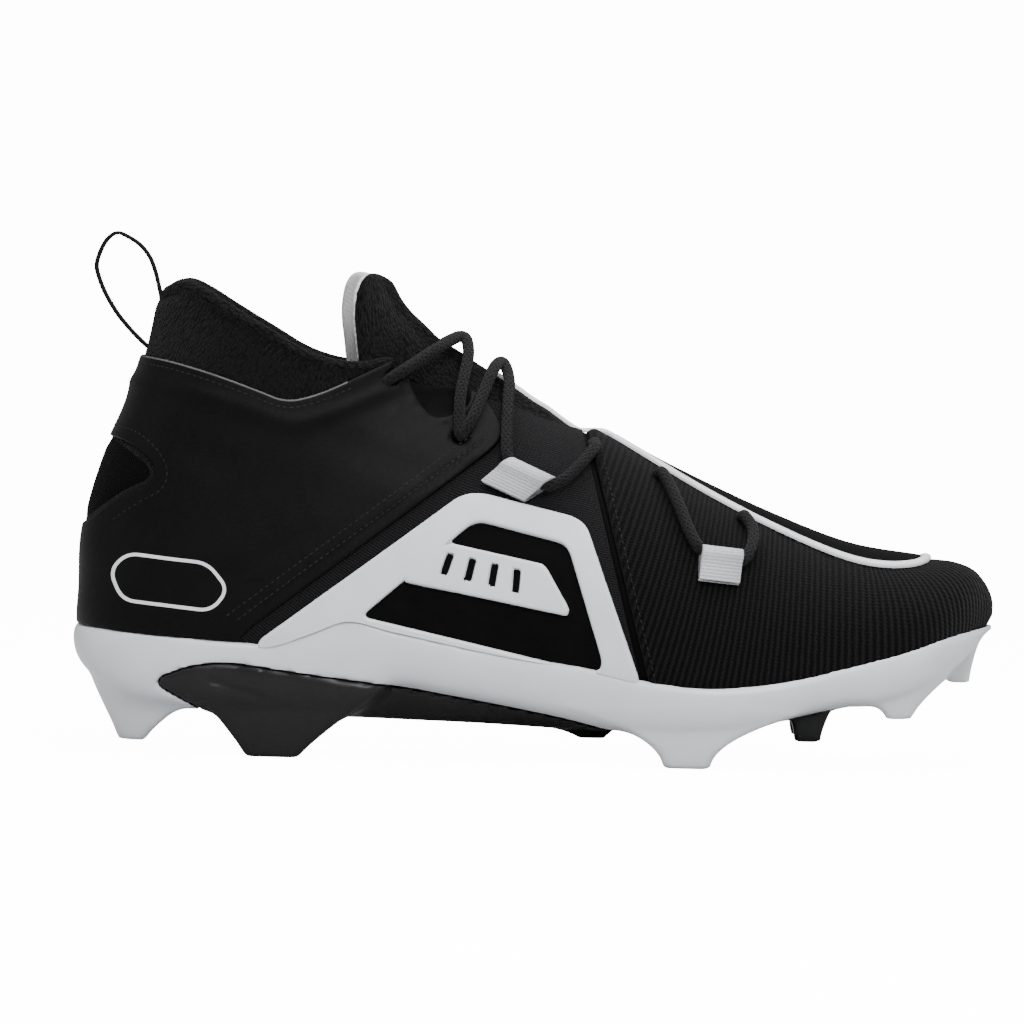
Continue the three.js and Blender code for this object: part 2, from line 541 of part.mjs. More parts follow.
// Outline of the sole from above on one side, as a curve of y against x.
const soleEdgeAt = Object.fromEntries(
  [LATERAL, MEDIAL].map((side) => {
    const points = edgeLine
      .map((p, i) => p.clone().addScaledVector(edgeOut[i], gap + soleWall))
      .filter((p) => side * (p.y - ridgeAt(p.x)) > 0 && p.x > 0.005 * shoeLength && p.x < 0.995 * shoeLength)
      .sort((a, b) => a.x - b.x)
      .map((p) => [p.x, p.y]);
    return [side, curveThrough(points)];
  }),
);

// Sole before anything is cut from it: cup wall, plate and keel as one lump.
const soleLump = (() => {
  const spineFrom = 0.11 * shoeLength;
  const spineTo = 0.88 * shoeLength;
  const spine = (p) => {
    const x = THREE.MathUtils.clamp(p.x, spineFrom, spineTo);
    return new THREE.Vector3(x, ridgeAt(Math.max(x, 0.5 * shoeLength)) * smooth(0.3, 0.8, x / shoeLength), 0);
  };
  const ringAt = (inset, heightOf, share) =>
    edgeLine.map((p, i) => {
      const q = p.clone().addScaledVector(edgeOut[i], gap + soleWall - inset);
      const middle = spine(p);
      const r = new THREE.Vector3().lerpVectors(q, middle, share);
      return r.setZ(heightOf(p, r));
    });
  const fall = (p, drop) => p.z + (Math.min(wallFootAt(p.x), p.z - 2) - p.z) * drop;
  const top = ringAt(0, (p) => p.z, 0);
  const lid = ringAt(0, (p) => p.z, 0.85);
  const side = wallRings.map(({ drop, inset }) => ringAt(inset, (p) => fall(p, drop), 0));
  const belly = ringAt(7.5, (p, r) => THREE.MathUtils.lerp(fall(p, 1), keelAt(r.x), 0.75), 0.5);
  const keel = ringAt(7.5, (p, r) => keelAt(r.x), 0.9);
  return solidOf(loftRings([lid, top, ...side, belly, keel]));
})();

// Stud as a stack of slices from its tip up into the plate. faces gives the outer and inner y at a place.
function studSolid({ tip, base, reach, root, flare: bend }, faces) {
  const rings = [];
  for (let level = 0; level <= STUD_LEVELS; level++) {
    const u = level / STUD_LEVELS;
    const flare = u ** bend;
    const from = THREE.MathUtils.lerp(tip[0], base[0], flare) * shoeLength;
    const to = THREE.MathUtils.lerp(tip[1], base[1], flare) * shoeLength;
    const z = THREE.MathUtils.lerp(reach, root, u) * plateBottom;
    const outer = [];
    const inner = [];
    for (let i = 0; i <= STUD_SLICES; i++) {
      const v = i / STUD_SLICES;
      const x = from + (to - from) * v;
      const round = (0.12 + 0.1 * flare) * (2 * v - 1) ** 4;
      const [a, b] = faces(x, u);
      outer.push(new THREE.Vector3(x, THREE.MathUtils.lerp(a, b, round), z));
      inner.push(new THREE.Vector3(x, THREE.MathUtils.lerp(b, a, round), z));
    }
    rings.push([...outer, ...inner.reverse()]);
  }
  return solidOf(loftRings(rings));
}

const sideStud = (row, side) =>
  studSolid(row, (x, u) => {
    const inset = THREE.MathUtils.lerp(row.inset[0], row.inset[1], u);
    const outer = soleEdgeAt[side](x) - side * inset;
    const width = studWidth * row.width * (1 + insetShrink * u);
    return [outer, outer - side * width];
  });
const middleStudSolid = (row, y) =>
  studSolid(row, (x, u) => {
    const half = row.half * (1 + 0.5 * u);
    return [y - half, y + half];
  });

// Boxes of the last that hold a piece apart from the rest.
const outside = lastSolid((s) => (s < VAMP_EDGE ? vampStep : 0));
const inside = lastSolid((s) => -wallAt(s));
const aboveRim = (drop) =>
  sidePrism(
    [
      ...scaled(rimLine, shoeLength, collarHeight).map(([x, z]) => [x, z - drop]),
      [0.6 * shoeLength, highZ],
      [-0.1 * shoeLength, highZ],
    ],
    -farY,
    farY,
  );
const throat = planPrism(scaled(throatHalf, shoeLength, ballWidth), ridgeAt, 0.5 * instepHeight, highZ);

const eyeletHoles = [LATERAL, MEDIAL].flatMap((side) =>
  eyelets.map(({ at, turn }) => {
    const angle = turn * HALF_TURN;
    const hole = new THREE.CylinderGeometry(eyeletRadius, eyeletRadius, 4 * collarWall, 8);
    const along = lastNormal(at, angle, side);
    hole.applyQuaternion(new THREE.Quaternion().setFromUnitVectors(new THREE.Vector3(0, 1, 0), along));
    return solidOf(hole.translate(...lastPoint(at, angle, side).toArray()));
  }),
);
const holes = wasm.Manifold.union(eyeletHoles);

// The largest body of a solid, without its needless facets: a cut can leave crumbs that are no part of the piece.
const FLAT_ENOUGH = 0.04;
const mainBody = (solid) =>
  solid
    .decompose()
    .reduce((a, b) => (b.volume() > a.volume() ? b : a))
    .simplify(FLAT_ENOUGH);

const bead = lastSolid(() => -beadInset).subtract(aboveRim(0));
const upper = mainBody(
  outside
    .subtract(aboveRim(beadRise))
    .add(bead)
    .subtract(inside)
    .subtract(belowFootbed(lasting))
    .subtract(throat)
    .subtract(holes),
);

// Between two grown lasts, inside an outline from the side.
const between = (low, high) => lastSolid(() => high).subtract(lastSolid(() => low));
const aboveWall = (side, yFrom, yTo) =>
  sidePrism(
    [...sampled(wallTopAt[side], -farX, shoeLength + farX, 48, seamRise), [shoeLength + farX, highZ], [-farX, highZ]],
    yFrom,
    yTo,
  );
const overWall = aboveWall(LATERAL, -farY, 0).add(aboveWall(MEDIAL, 0, farY));

const quarterForm = between(gap, gap + quarterThickness);
const quarterShell = mainBody(
  quarterForm
    .intersect(sidePrism(scaled(quarterOutline, shoeLength, collarHeight), -farY, farY))
    .subtract(sidePrism(scaled(patchOutline, shoeLength, collarHeight), -farY, farY))
    .subtract(throat)
    .subtract(holes)
    .intersect(overWall),
);

const sideOutline = (points) => sidePrism(scaled(points, shoeLength, collarHeight), -farY, 0);
const midfootFrame = mainBody(
  between(gap, gap + frameThickness)
    .intersect(sideOutline(frameOutline).subtract(sideOutline(frameWindow)).add(sideOutline(frameCrossbar)))
    .intersect(overWall),
);

const bandPlan = (grow) => {
  const half = scaled(toeBandHalf, shoeLength, ballWidth);
  const whole = grownOutline([...half, ...half.map(([x, y]) => [x, -y]).reverse()], grow).slice(0, half.length);
  const back = half[0][0];
  return planPrism(
    whole.map(([x, y]) => [Math.max(x, back), y]),
    ridgeAt,
    0.5 * instepHeight,
    highZ,
  );
};
const bandForm = (thickness) => between(vampStep + gap, vampStep + gap + thickness);
const toeBand = mainBody(bandForm(toeBandThickness).intersect(bandPlan(0)));
const toePiping = mainBody(bandForm(pipingThickness).intersect(bandPlan(gap + pipingWidth).subtract(bandPlan(gap))));

// Foot room in the sole, and the insole and tongue that go inside the upper.
const cavity = lastSolid((s) => gap + (s < VAMP_EDGE ? vampStep : 0)).subtract(belowFootbed(lasting - gap));
const insole = mainBody(
  lastSolid((s) => -wallAt(s) - insoleClearance)
    .intersect(belowFootbed(lasting + insoleThickness))
    .subtract(belowFootbed(lasting)),
);

const tongueOutline = [
  [0.29, 0.8], [0.283, 0.93], [0.287, 0.985], [0.3, 1.015], [0.318, 1.022], [0.36, 1.03], [0.5, 1.0], [0.66, 0.75],
  [0.62, 0.58], [0.55, 0.62], [0.47, 0.68], [0.4, 0.745], [0.33, 0.785],
];
const tongueOff = (s, angle) =>
  tongueBulge * smooth(0.91, 0.97, angle / HALF_TURN) * smooth(VAMP_EDGE, WAIST, s) * smooth(HEEL_EDGE, HEEL_SEAT, s) -
  wallAt(s) -
  tongueClearance;
const tongue = mainBody(
  lastSolid(tongueOff)
    .subtract(lastSolid((s, angle) => tongueOff(s, angle) - tongueThickness))
    .intersect(sidePrism(scaled(tongueOutline, shoeLength, collarHeight), -farY, farY)),
);

// Sole, chassis and forefoot insert are one lump with studs, parted along the chassis and the insert.
const studs = (table) => table.flatMap((row) => [sideStud(row, LATERAL), sideStud(row, MEDIAL)]);
const parted = (grow) => sidePrism(grownOutline(scaled(chassisOutline, shoeLength, plateBottom), grow), -farY, farY);
const pocket = (grow) => {
  const from = insertPocket.from * shoeLength - grow;
  const to = insertPocket.to * shoeLength + grow;
  const half = insertPocket.half * ballWidth + grow;
  const roof = insertPocket.sink + grow;
  return sidePrism([[from, lowZ], [from, keelAt(from) + roof], [to, keelAt(to) + roof], [to, lowZ]], -half, half);
};
const outsole = mainBody(
  wasm.Manifold.union([soleLump, ...studs(studTable), middleStudSolid(toeNose, toeNose.half)])
    .subtract(parted(gap))
    .subtract(pocket(gap))
    .subtract(cavity),
);
const chassis = mainBody(
  wasm.Manifold.union([soleLump, ...studs(darkStudTable), middleStudSolid(chassisNose, 0)])
    .intersect(parted(0))
    .subtract(cavity),
);
const forefootInsert = mainBody(
  wasm.Manifold.union([
    soleLump,
    middleStudSolid(middleStud, middleStud.offset * ballWidth),
    middleStudSolid(middleStud, -middleStud.offset * ballWidth),
  ])
    .intersect(pocket(0))
    .subtract(cavity),
);

// Round cord along places on the last.
function cord(points, radius) {
  const curve = new THREE.CatmullRomCurve3(points, false, 'centripetal');
  const section = new THREE.Shape();
  section.absarc(0, 0, radius, 0, 2 * HALF_TURN);
  const steps = Math.round(curve.getLength() / (1.9 * laceDiameter));
  return solidOf(
    new THREE.ExtrudeGeometry(section, { extrudePath: curve, steps, curveSegments: 3, bevelEnabled: false }),
  );
}
const lacePoint = ([s, turn, side, lift]) =>
  offLast(s, turn * HALF_TURN, side, (s < VAMP_EDGE ? vampStep : 0) + lift * laceDiameter);
const upperLacePath = (start) => upperLace.map(([s, turn, side, lift]) => lacePoint([s, turn, -side * start, lift]));
const lowerLacePath = (side) => lowerLace.map(([s, turn, lift]) => lacePoint([s, turn, side, lift]));
const laceSolids = (grow) => {
  const radius = laceDiameter / 2 + grow;
  return {
    upper: cord(upperLacePath(LATERAL), radius).add(cord(upperLacePath(MEDIAL), radius)),
    [LATERAL]: cord(lowerLacePath(LATERAL), radius),
    [MEDIAL]: cord(lowerLacePath(MEDIAL), radius),
  };
};
const laces = laceSolids(0);
const laceRoom = laceSolids(laceClearance);

// Folded webbing that holds a lace: a sleeve round the cord with a tail on the upper.
function webbing({ at, turn, width, tilt, lift }, side, room) {
  const radius = laceDiameter / 2 + laceClearance + webbingThickness;
  const shape = new THREE.Shape();
  shape.absarc(0, 0, radius, -HALF_TURN / 4, HALF_TURN);
  shape.lineTo(-radius, -webbingTail);
  shape.lineTo(-radius + 2 * webbingThickness, -webbingTail);
  const geometry = new THREE.ExtrudeGeometry(shape, { depth: width, curveSegments: 4, bevelEnabled: false });
  geometry.translate(0, 0, -width / 2);
  geometry.rotateX(tilt * (side === LATERAL ? 1 : -1));
  const angle = turn * HALF_TURN;
  const out = lastNormal(at, angle, side);
  const down = lastPoint(at, angle - STEP, side).sub(lastPoint(at, angle + STEP, side)).normalize();
  const along = new THREE.Vector3().crossVectors(down, out);
  const basis = new THREE.Matrix4().makeBasis(out, down.negate(), along);
  basis.setPosition(offLast(at, angle, side, (at < VAMP_EDGE ? vampStep : 0) + lift * laceDiameter));
  const sleeve = solidOf(geometry.applyMatrix4(basis)).subtract(room).subtract(clearOfUpper);
  return mainBody(sleeve.subtract(clearOfFrame));
}
const clearOfUpper = lastSolid((s) => gap + (s < VAMP_EDGE ? vampStep : 0));
const clearOfFrame = lastSolid(() => frameThickness + 2 * gap).intersect(
  sidePrism(grownOutline(scaled(frameOutline, shoeLength, collarHeight), gap), -farY, 0),
);

// Pull loop: a flat ribbon that stands off the heel between two seats on the cuff.
function pullLoop() {
  const back = lastPoint(LAST_ROW - 1, 0, LATERAL).x;
  const seat = new THREE.Vector2(back + (beadInset - pullLoopThickness) / 2, rimAt(back) - beadRise + gap);
  const path = pullLoopPath.map(([x, z]) => [seat.x + x * pullLoopHeight, seat.y + z * pullLoopHeight]);
  const line = new THREE.SplineCurve(path.map(([x, z]) => new THREE.Vector2(x, z)));
  const points = line.getPoints(26);
  const side = (sign) =>
    points.map((p, i) => {
      const a = points[Math.max(i - 1, 0)];
      const b = points[Math.min(i + 1, points.length - 1)];
      const along = new THREE.Vector2().subVectors(b, a).normalize();
      return [p.x - (sign * along.y * pullLoopThickness) / 2, p.y + (sign * along.x * pullLoopThickness) / 2];
    });
  const ribbon = sidePrism([...side(1), ...side(-1).reverse()], -pullLoopWidth / 2, pullLoopWidth / 2);
  return mainBody(ribbon.subtract(clearOfUpper.subtract(aboveRim(beadRise - gap))));
}

// Finishes.
const finish = (color, roughness) => new THREE.MeshStandardMaterial({ color, roughness, metalness: 0 });
const blackKnit = finish(0x1b1a1c, 0.9);
const blackSynthetic = finish(0x131214, 0.55);
const blackSmooth = finish(0x0c0b0d, 0.4);
const paleMoulding = finish(0xb9bdc1, 0.45);
const darkMoulding = finish(0x2b2a2d, 0.5);
const paleTape = finish(0xc5c6c9, 0.7);
const blackCord = finish(0x1c1b1d, 0.85);
const insoleFoam = finish(0x222124, 0.95);

const shoe = new THREE.Group();
const add = (name, solidOrGeometry, material) => {
  const geometry = solidOrGeometry.isBufferGeometry ? solidOrGeometry : geometryOf(solidOrGeometry);
  const mesh = new THREE.Mesh(geometry, material);
  mesh.name = name;
  shoe.add(mesh);
};

add('upper', upper, blackKnit);
add('quarter_shell', quarterShell, blackSynthetic);
add('midfoot_frame', midfootFrame, paleMoulding);
add('toe_band', toeBand, blackSmooth);
add('toe_piping', toePiping, paleTape);
add('outsole', outsole, paleMoulding);
add('chassis', chassis, darkMoulding);
add('forefoot_insert', forefootInsert, darkMoulding);
add('insole', insole, insoleFoam);
add('tongue', tongue, blackKnit);
add('lace_upper', laces.upper, blackCord);
[LATERAL, MEDIAL].forEach((side) => {
  const name = side === LATERAL ? 'lateral' : 'medial';
  add(`lace_lower_${name}`, laces[side], blackCord);
  add(`webbing_upper_${name}`, webbing(webbingPlaces[0], side, laceRoom.upper), paleTape);
  add(`webbing_lower_${name}`, webbing(webbingPlaces[1], side, laceRoom[side]), paleTape);
});
add('pull_loop', pullLoop(), blackCord);

// The frame's origin lies on the ground under the middle of the shoe.
const box = new THREE.Box3().setFromObject(shoe);
shoe.position.set(-(box.min.x + box.max.x) / 2, -(box.min.y + box.max.y) / 2, -box.min.z);

const part = new THREE.Group();
part.add(shoe);

export default part;
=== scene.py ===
"""Looks of a mid-cut american football cleat for the right foot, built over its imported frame.

The upper and everything sewn or moulded onto it is a sheet over one shoe last, given by sections that
fan from the toe round the heel to the rim. The sole is a solid field, meshed and then parted into cup,
chassis and insert. Sizes are in millimetres in the part's own axes, and become metres in the frame when
a mesh is made.
"""
import logging
import math
from dataclasses import dataclass, field
from enum import Enum
from typing import Callable, Sequence

import bmesh
import bpy
import numpy as np
from mathutils import Matrix, Vector


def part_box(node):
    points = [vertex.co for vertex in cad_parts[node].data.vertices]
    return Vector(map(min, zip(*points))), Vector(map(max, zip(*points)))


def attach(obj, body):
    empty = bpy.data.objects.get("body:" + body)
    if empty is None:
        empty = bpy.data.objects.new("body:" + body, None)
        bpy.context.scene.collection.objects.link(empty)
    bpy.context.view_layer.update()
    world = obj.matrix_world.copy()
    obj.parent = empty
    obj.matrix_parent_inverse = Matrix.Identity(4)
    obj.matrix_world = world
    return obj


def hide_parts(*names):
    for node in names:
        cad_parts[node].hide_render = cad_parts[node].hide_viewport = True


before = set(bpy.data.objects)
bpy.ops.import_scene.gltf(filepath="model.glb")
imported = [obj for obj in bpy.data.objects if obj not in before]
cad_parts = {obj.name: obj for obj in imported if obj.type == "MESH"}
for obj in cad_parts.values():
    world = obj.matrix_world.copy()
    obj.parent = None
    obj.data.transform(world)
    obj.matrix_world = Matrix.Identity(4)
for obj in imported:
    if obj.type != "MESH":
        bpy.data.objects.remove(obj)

Array = np.ndarray
Outline = Sequence[tuple[float, float]]
log = logging.getLogger("cleat")

MM = 0.001
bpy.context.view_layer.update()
FRESH_EDGE = math.radians(38)
FAR = 99.0
OUTSIDE = -9.0
SOFT_ANGLE = 0.6
ROUNDS = 40


class Side(Enum):
    """Side of the foot, as the sign of y."""

    LATERAL = -1
    MEDIAL = 1


def smooth(low: float, high: float, x: Array) -> Array:
    """Smooth step from 0 at low to 1 at high."""
    u = np.clip((np.asarray(x, float) - low) / (high - low), 0.0, 1.0)
    return u * u * (3 - 2 * u)


def unit(ways: Array) -> Array:
    """Directions with a length of one."""
    return ways / np.linalg.norm(ways, axis=-1, keepdims=True)


def blended(a: Array, b: Array, c: Array, d: Array, u: Array) -> Array:
    """Smooth curve through a, b, c and d, at share u of the way from b to c."""
    return b + 0.5 * u * (c - a + u * (2 * a - 5 * b + 4 * c - d + u * (3 * (b - c) + d - a)))


def bisect(beyond: Callable[[Array], Array], low: Array, high: Array) -> Array:
    """Places between low and high where a change happens.

    Args:
        beyond: tells of each place whether it lies past the change.
        low: places before it.
        high: places past it.

    Returns:
        The last places before the change.
    """
    for _ in range(ROUNDS):
        middle = (low + high) / 2
        past = beyond(middle)
        high = np.where(past, middle, high)
        low = np.where(past, low, middle)
    return low


def curve_through(points: Outline) -> Callable[[Array], Array]:
    """Smooth line through points whose places are in order.

    Args:
        points: pairs of place and height.

    Returns:
        A function from places to heights, level beyond both ends.
    """
    p = np.array(points, float)
    low = p[np.maximum(np.arange(len(p)) - 1, 0)]
    high = p[np.minimum(np.arange(len(p)) + 1, len(p) - 1)]
    slope = (high[:, 1] - low[:, 1]) / (high[:, 0] - low[:, 0])

    def at(x: Array) -> Array:
        """Height of the line at places x."""
        x = np.clip(np.asarray(x, float), p[0, 0], p[-1, 0])
        i = np.clip(np.searchsorted(p[:, 0], x, side="right") - 1, 0, len(p) - 2)
        h = p[i + 1, 0] - p[i, 0]
        u = (x - p[i, 0]) / h
        rise = slope[i] * h * u * (1 - u) ** 2 - slope[i + 1] * h * u * u * (1 - u)
        return p[i, 1] + (p[i + 1, 1] - p[i, 1]) * u * u * (3 - 2 * u) + rise

    return at


def scaled(points: Outline, across: float, up: float) -> list[tuple[float, float]]:
    """Points with their shares turned into lengths."""
    return [(x * across, y * up) for x, y in points]


def mirrored(half: Outline) -> list[tuple[float, float]]:
    """Closed outline from its half on one side of the middle line."""
    return [*half, *[(x, -y) for x, y in half[::-1]]]


def rounded(points: Outline, radius: float, steps: int = 6) -> Array:
    """Closed outline with each corner turned into an arc-like curve.

    Args:
        points: the corners.
        radius: how far from a corner its curve starts, at most 0.45 of each side.
        steps: pieces of each curve.

    Returns:
        The points of the rounded outline.
    """
    p = np.array(points, float)
    out = []
    for i, corner in enumerate(p):
        before, after = p[i - 1] - corner, p[(i + 1) % len(p)] - corner
        reach_a = min(radius, 0.45 * np.linalg.norm(before))
        reach_b = min(radius, 0.45 * np.linalg.norm(after))
        a = corner + before / np.linalg.norm(before) * reach_a
        b = corner + after / np.linalg.norm(after) * reach_b
        for u in np.linspace(0, 1, steps + 1):
            out.append((1 - u) ** 2 * a + 2 * u * (1 - u) * corner + u * u * b)
    return np.array(out)


def off_segment(a: Array, b: Array, x: Array, y: Array) -> Array:
    """Squared distance of places from the line between two points."""
    d = b - a
    u = np.clip(((x - a[0]) * d[0] + (y - a[1]) * d[1]) / float(d @ d), 0, 1)
    return (x - a[0] - u * d[0]) ** 2 + (y - a[1] - u * d[1]) ** 2


def inside_by(outline: Array, x: Array, y: Array) -> Array:
    """Distance of places from a closed outline, positive inside it.

    Args:
        outline: the outline's points.
        x: first coordinates of the places.
        y: second coordinates of the places.

    Returns:
        The signed distances.
    """
    best = np.full(np.shape(x), 1e9)
    odd = np.zeros(np.shape(x), bool)
    for a, b in zip(outline, np.roll(outline, -1, axis=0)):
        if np.linalg.norm(b - a) < 1e-6:
            continue
        best = np.minimum(best, off_segment(a, b, x, y))
        if a[1] != b[1]:
            between = (a[1] > y) != (b[1] > y)
            odd ^= between & (x < (b[0] - a[0]) * (y - a[1]) / (b[1] - a[1]) + a[0])
    return np.where(odd, 1.0, -1.0) * np.sqrt(best)


def near_line(line: Outline, x: Array, y: Array) -> Array:
    """Distance of places from an open line."""
    p = np.array(line, float)
    return np.sqrt(np.min([off_segment(a, b, x, y) for a, b in zip(p, p[1:])], axis=0))


def spline(points: Sequence[Sequence[float]], count: int) -> Array:
    """Evenly spaced points of a smooth open curve through the given ones.

    Args:
        points: the curve's points, of two or three coordinates.
        count: how many points to return.

    Returns:
        An array of count points.
    """
    p = np.array(points, float)
    p = np.vstack([2 * p[0] - p[1], p, 2 * p[-1] - p[-2]])
    u = np.linspace(0, 1, 16, endpoint=False)[:, None]
    parts = [blended(a, b, c, d, u) for a, b, c, d in zip(p, p[1:], p[2:], p[3:])]
    fine = np.vstack([*parts, p[-2:-1]])
    run = np.concatenate([[0], np.cumsum(np.linalg.norm(np.diff(fine, axis=0), axis=1))])
    at = np.linspace(0, run[-1], count)
    return np.stack([np.interp(at, run, fine[:, k]) for k in range(p.shape[1])], axis=1)


@dataclass
class Last:
    """The last: sections from the toe tip round the heel to the rim, as in the part's source."""

    length: float = 300.0
    ball_width: float = 98.0
    instep_height: float = 112.0
    collar_height: float = 153.5
    footbed_height: float = 18.0
    upper_wall: float = 2.2
    collar_wall: float = 5.0
    vamp_step: float = 0.8
    datum: float = 1.3
    insert_from: float = 0.762
    footbed_line: Outline = (
        (-0.05, 1.0), (0.0, 1.0), (0.22, 1.02), (0.4, 1.06), (0.52, 0.96), (0.62, 0.81), (0.69, 0.78),
        (0.77, 0.92), (0.85, 1.24), (0.915, 1.56), (0.955, 1.86), (0.979, 2.2), (1.0, 2.7),
    )
    # back x, rise, top x, top z, outer half, inner half, sway, lean, widest, base, crown
    sections: Sequence[tuple[float, ...]] = (
        (0.9965, 0, 0.9965, 0.449, 0, 0, 0.11, 0, 0.42, 2.3, 2.3),
        (0.975, 0, 0.983, 0.537, 0.155, 0.13, 0.105, 0, 0.4, 2.6, 2.3),
        (0.95, 0, 0.957, 0.575, 0.282, 0.232, 0.095, 0.005, 0.37, 3.2, 2.3),
        (0.917, 0, 0.908, 0.588, 0.385, 0.317, 0.075, 0.015, 0.34, 3.6, 2.25),
        (0.847, 0, 0.835, 0.62, 0.458, 0.392, 0.05, 0.03, 0.31, 4, 2.2),
        (0.77, 0, 0.744, 0.71, 0.5, 0.452, 0.022, 0.045, 0.3, 4, 2.12),
        (0.693, 0, 0.643, 0.832, 0.512, 0.46, 0.002, 0.05, 0.3, 4, 2.02),
        (0.633, 0, 0.552, 0.955, 0.49, 0.425, -0.01, 0.05, 0.3, 4, 1.95),
        (0.533, 0, 0.502, 1.018, 0.442, 0.38, -0.015, 0.048, 0.32, 3.9, 1.95),
        (0.417, 0, 0.476, 1.063, 0.398, 0.352, -0.015, 0.04, 0.34, 3.8, 1.98),
        (0.283, 0, 0.453, 1.107, 0.372, 0.348, -0.01, 0.03, 0.36, 3.5, 2),
        (0.16, 0, 0.433, 1.15, 0.362, 0.352, -0.005, 0.02, 0.37, 3.2, 2.05),
        (0.053, 0.012, 0.414, 1.193, 0.36, 0.354, 0, 0.012, 0.37, 2.9, 2.1),
        (0.0083, 0.113, 0.395, 1.228, 0.356, 0.352, 0, 0.006, 0.38, 2.6, 2.1),
        (0.0053, 0.228, 0.379, 1.268, 0.35, 0.348, 0, 0, 0.4, 2.45, 2.15),
        (0.0088, 0.36, 0.363, 1.308, 0.344, 0.342, 0, 0, 0.42, 2.4, 2.2),
        (0.026, 0.488, 0.352, 1.35, 0.34, 0.338, 0, 0, 0.44, 2.35, 2.2),
        (0.052, 0.617, 0.345, 1.4, 0.338, 0.336, 0, 0, 0.46, 2.3, 2.2),
        (0.0697, 0.727, 0.345, 1.457, 0.335, 0.333, 0, 0, 0.47, 2.3, 2.2),
        (0.082, 0.85, 0.343, 1.537, 0.333, 0.331, 0, 0, 0.48, 2.3, 2.2),
        (0.095, 0.96, 0.343, 1.63, 0.333, 0.331, 0, 0, 0.48, 2.3, 2.2),
    )
    VAMP_EDGE: int = 7
    ARCH: int = 9
    HEEL_EDGE: int = 12
    HEEL_CURVE: int = 13
    RIM: int = 19

    def __post_init__(self) -> None:
        """Works out the sections in millimetres and the shift into the frame."""
        self.footbed = curve_through(scaled(self.footbed_line, self.length, self.footbed_height))
        t = np.array(self.sections, float)
        w = self.ball_width
        rows = np.stack([
            t[:, 0] * self.length,
            self.footbed(t[:, 0] * self.length) + t[:, 1] * self.collar_height,
            t[:, 2] * self.length,
            t[:, 3] * self.instep_height,
            t[:, 4] * w, t[:, 5] * w, t[:, 6] * w, t[:, 7] * w, t[:, 8], t[:, 9], t[:, 10],
        ], axis=1)
        ahead = rows[1].copy()
        ahead[[0, 1, 2, 3]] = rows[1][[2, 3, 0, 1]]
        ahead[[4, 5]] *= -1
        self.table = np.vstack([ahead, rows, rows[-1]])
        self.top_row = len(rows) - 1
        ridge = rows[1:self.VAMP_EDGE + 8]
        self.ridge = curve_through([(r[2], r[6] + r[7]) for r in ridge][::-1])
        low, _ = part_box("forefoot_insert")
        loop_low, loop_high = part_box("pull_loop")
        self.shift = np.array([
            low[0] / MM - self.insert_from * self.length,
            (loop_low[1] + loop_high[1]) / 2 / MM,
            self.datum,
        ])

    def point(self, s: Array, t: Array) -> Array:
        """Points of the last.

        Args:
            s: places along it, counted in sections from the toe tip.
            t: places round it, from 0 under the foot over the outer side to 1 on the ridge, and on to 2.

        Returns:
            An array of points with three coordinates.
        """
        s = np.clip(np.asarray(s, float), 0, self.top_row)
        t = np.mod(np.asarray(t, float), 2.0)
        i = np.minimum(np.floor(s).astype(int), self.top_row - 1)
        u = (s - i)[..., None]
        k = blended(*(self.table[i + n] for n in range(4)), u)
        outer = t <= 1
        angle = np.where(outer, t, 2 - t) * math.pi
        cos, sin = np.cos(angle), np.sin(angle)
        widest = k[..., 8]
        power = np.where(cos >= 0, k[..., 9], k[..., 10])
        r = (np.abs(cos) ** power + np.abs(sin) ** power) ** (-1 / power)
        along = np.where(cos >= 0, widest * (1 - cos * r), widest - (1 - widest) * cos * r)
        half = np.where(outer, -k[..., 4], k[..., 5])
        return np.stack([
            k[..., 0] + (k[..., 2] - k[..., 0]) * along,
            k[..., 6] + k[..., 7] * along + half * sin * r,
            k[..., 1] + (k[..., 3] - k[..., 1]) * along,
        ], axis=-1)

    def normal(self, s: Array, t: Array) -> Array:
        """Outward directions of the last at places s along and t round it."""
        step = 0.02
        s = np.asarray(s, float)
        low = np.maximum(s - step, step / 2)
        high = np.minimum(s + step, self.top_row)
        along = self.point(high, t) - self.point(low, t)
        around = self.point(s, t + step / math.pi) - self.point(s, t - step / math.pi)
        out = np.cross(around, along)
        size = np.linalg.norm(out, axis=-1, keepdims=True)
        out = out / np.maximum(size, 1e-9)
        out[(s < step) | (size[..., 0] < 1e-9)] = (1.0, 0.0, 0.0)
        return out

    def off(self, s: Array, t: Array, distance: Array) -> Array:
        """Points that lie off the last by a distance."""
        return self.point(s, t) + self.normal(s, t) * np.asarray(distance, float)[..., None]

    def wall(self, s: Array) -> Array:
        """Thickness of the upper's wall, thin in front and padded round the ankle."""
        return self.upper_wall + (self.collar_wall - self.upper_wall) * smooth(self.ARCH, self.HEEL_CURVE, s)

    def skin(self, s: Array) -> Array:
        """Height of the upper's outside over the last: the forefoot panel stands a step higher."""
        return self.vamp_step * (1 - smooth(self.VAMP_EDGE - 0.012, self.VAMP_EDGE + 0.012, s))

    def to_frame(self, points: Array) -> Array:
        """Points in the part's millimetres as metres in the frame."""
        return (np.asarray(points, float) + self.shift) * MM


LAST = Last()


